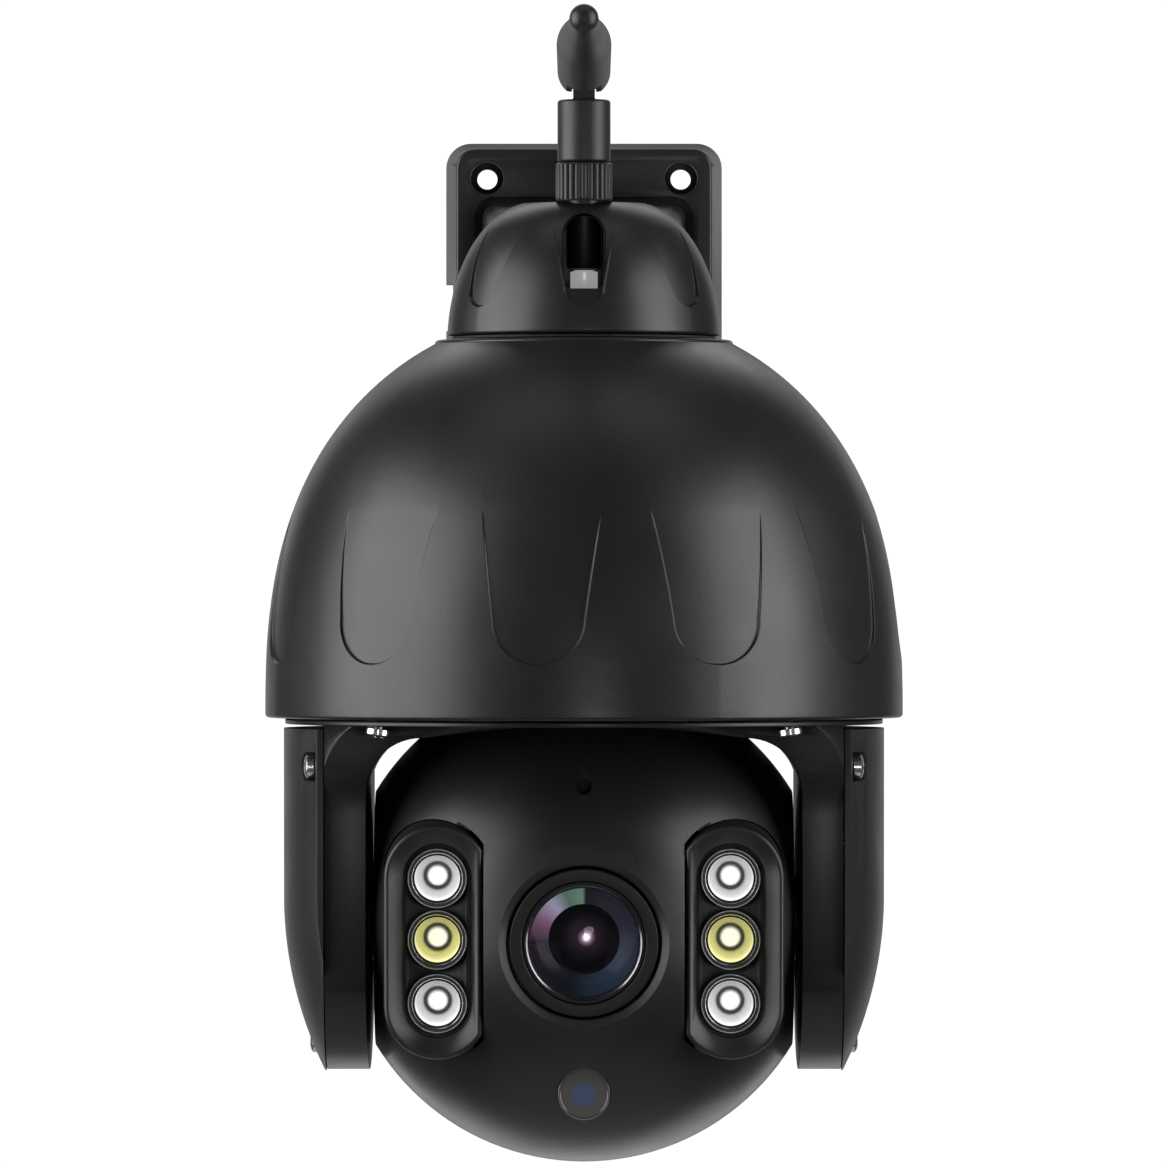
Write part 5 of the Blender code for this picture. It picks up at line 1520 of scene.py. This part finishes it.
class SECCAM_OT_screws(bpy.types.Operator):
    """Fit the cover, fork and arm screws"""
    bl_idname = "seccam.screws"
    bl_label = "Screws"
    bl_options = {"REGISTER", "UNDO"}

    def execute(self, context):
        build_screws()
        return {"FINISHED"}


class SECCAM_OT_head(bpy.types.Operator):
    """Build the ball head and its trunnions"""
    bl_idname = "seccam.head"
    bl_label = "Head"
    bl_options = {"REGISTER", "UNDO"}

    def execute(self, context):
        build_head_shells()
        build_shafts()
        return {"FINISHED"}


class SECCAM_OT_lens(bpy.types.Operator):
    """Build the lens barrel, rings and glass"""
    bl_idname = "seccam.lens"
    bl_label = "Lens"
    bl_options = {"REGISTER", "UNDO"}

    def execute(self, context):
        build_lens()
        return {"FINISHED"}


class SECCAM_OT_pods(bpy.types.Operator):
    """Build the lamp pods with three lamps each"""
    bl_idname = "seccam.pods"
    bl_label = "Lamp Pods"
    bl_options = {"REGISTER", "UNDO"}

    def execute(self, context):
        build_pods()
        return {"FINISHED"}


class SECCAM_OT_sensor(bpy.types.Operator):
    """Build the light sensor window"""
    bl_idname = "seccam.sensor"
    bl_label = "Light Sensor"
    bl_options = {"REGISTER", "UNDO"}

    def execute(self, context):
        build_sensor()
        return {"FINISHED"}


class SECCAM_OT_antenna(bpy.types.Operator):
    """Build the connector, nut, base and whip"""
    bl_idname = "seccam.antenna"
    bl_label = "Antenna"
    bl_options = {"REGISTER", "UNDO"}

    def execute(self, context):
        build_antenna()
        return {"FINISHED"}


class SECCAM_OT_stage(bpy.types.Operator):
    """Set up the floor, lights, surroundings and camera"""
    bl_idname = "seccam.stage"
    bl_label = "Studio"
    bl_options = {"REGISTER", "UNDO"}

    def execute(self, context):
        add_world()
        add_floor()
        add_lights()
        add_camera()
        return {"FINISHED"}


OPERATORS = (
    SECCAM_OT_frame_finishes, SECCAM_OT_wall_base, SECCAM_OT_arm, SECCAM_OT_dome, SECCAM_OT_fork,
    SECCAM_OT_covers, SECCAM_OT_screws, SECCAM_OT_head, SECCAM_OT_lens, SECCAM_OT_pods, SECCAM_OT_sensor,
    SECCAM_OT_antenna, SECCAM_OT_stage,
)


class SECCAM_PT_panel(bpy.types.Panel):
    """Lists the building steps in order."""
    bl_idname = "SECCAM_PT_panel"
    bl_label = "Security Camera"
    bl_space_type = "VIEW_3D"
    bl_region_type = "UI"
    bl_category = "Camera"

    def draw(self, context):
        for item in OPERATORS:
            self.layout.operator(item.bl_idname)
        for group in (context.scene.camera_sizes, context.scene.camera_colours, context.scene.camera_studio):
            box = self.layout.box()
            for name in group.__annotations__:
                box.prop(group, name)


CLASSES = (CameraSizes, CameraColours, StudioSettings, *OPERATORS, SECCAM_PT_panel)


def register():
    for item in CLASSES:
        bpy.utils.register_class(item)
    bpy.types.Scene.camera_sizes = PointerProperty(type=CameraSizes)
    bpy.types.Scene.camera_colours = PointerProperty(type=CameraColours)
    bpy.types.Scene.camera_studio = PointerProperty(type=StudioSettings)


def unregister():
    del bpy.types.Scene.camera_sizes
    del bpy.types.Scene.camera_colours
    del bpy.types.Scene.camera_studio
    for item in reversed(CLASSES):
        bpy.utils.unregister_class(item)


def main():
    register()
    for item in OPERATORS:
        group, name = item.bl_idname.split(".")
        getattr(getattr(bpy.ops, group), name)()


if __name__ == "__main__":
    main()
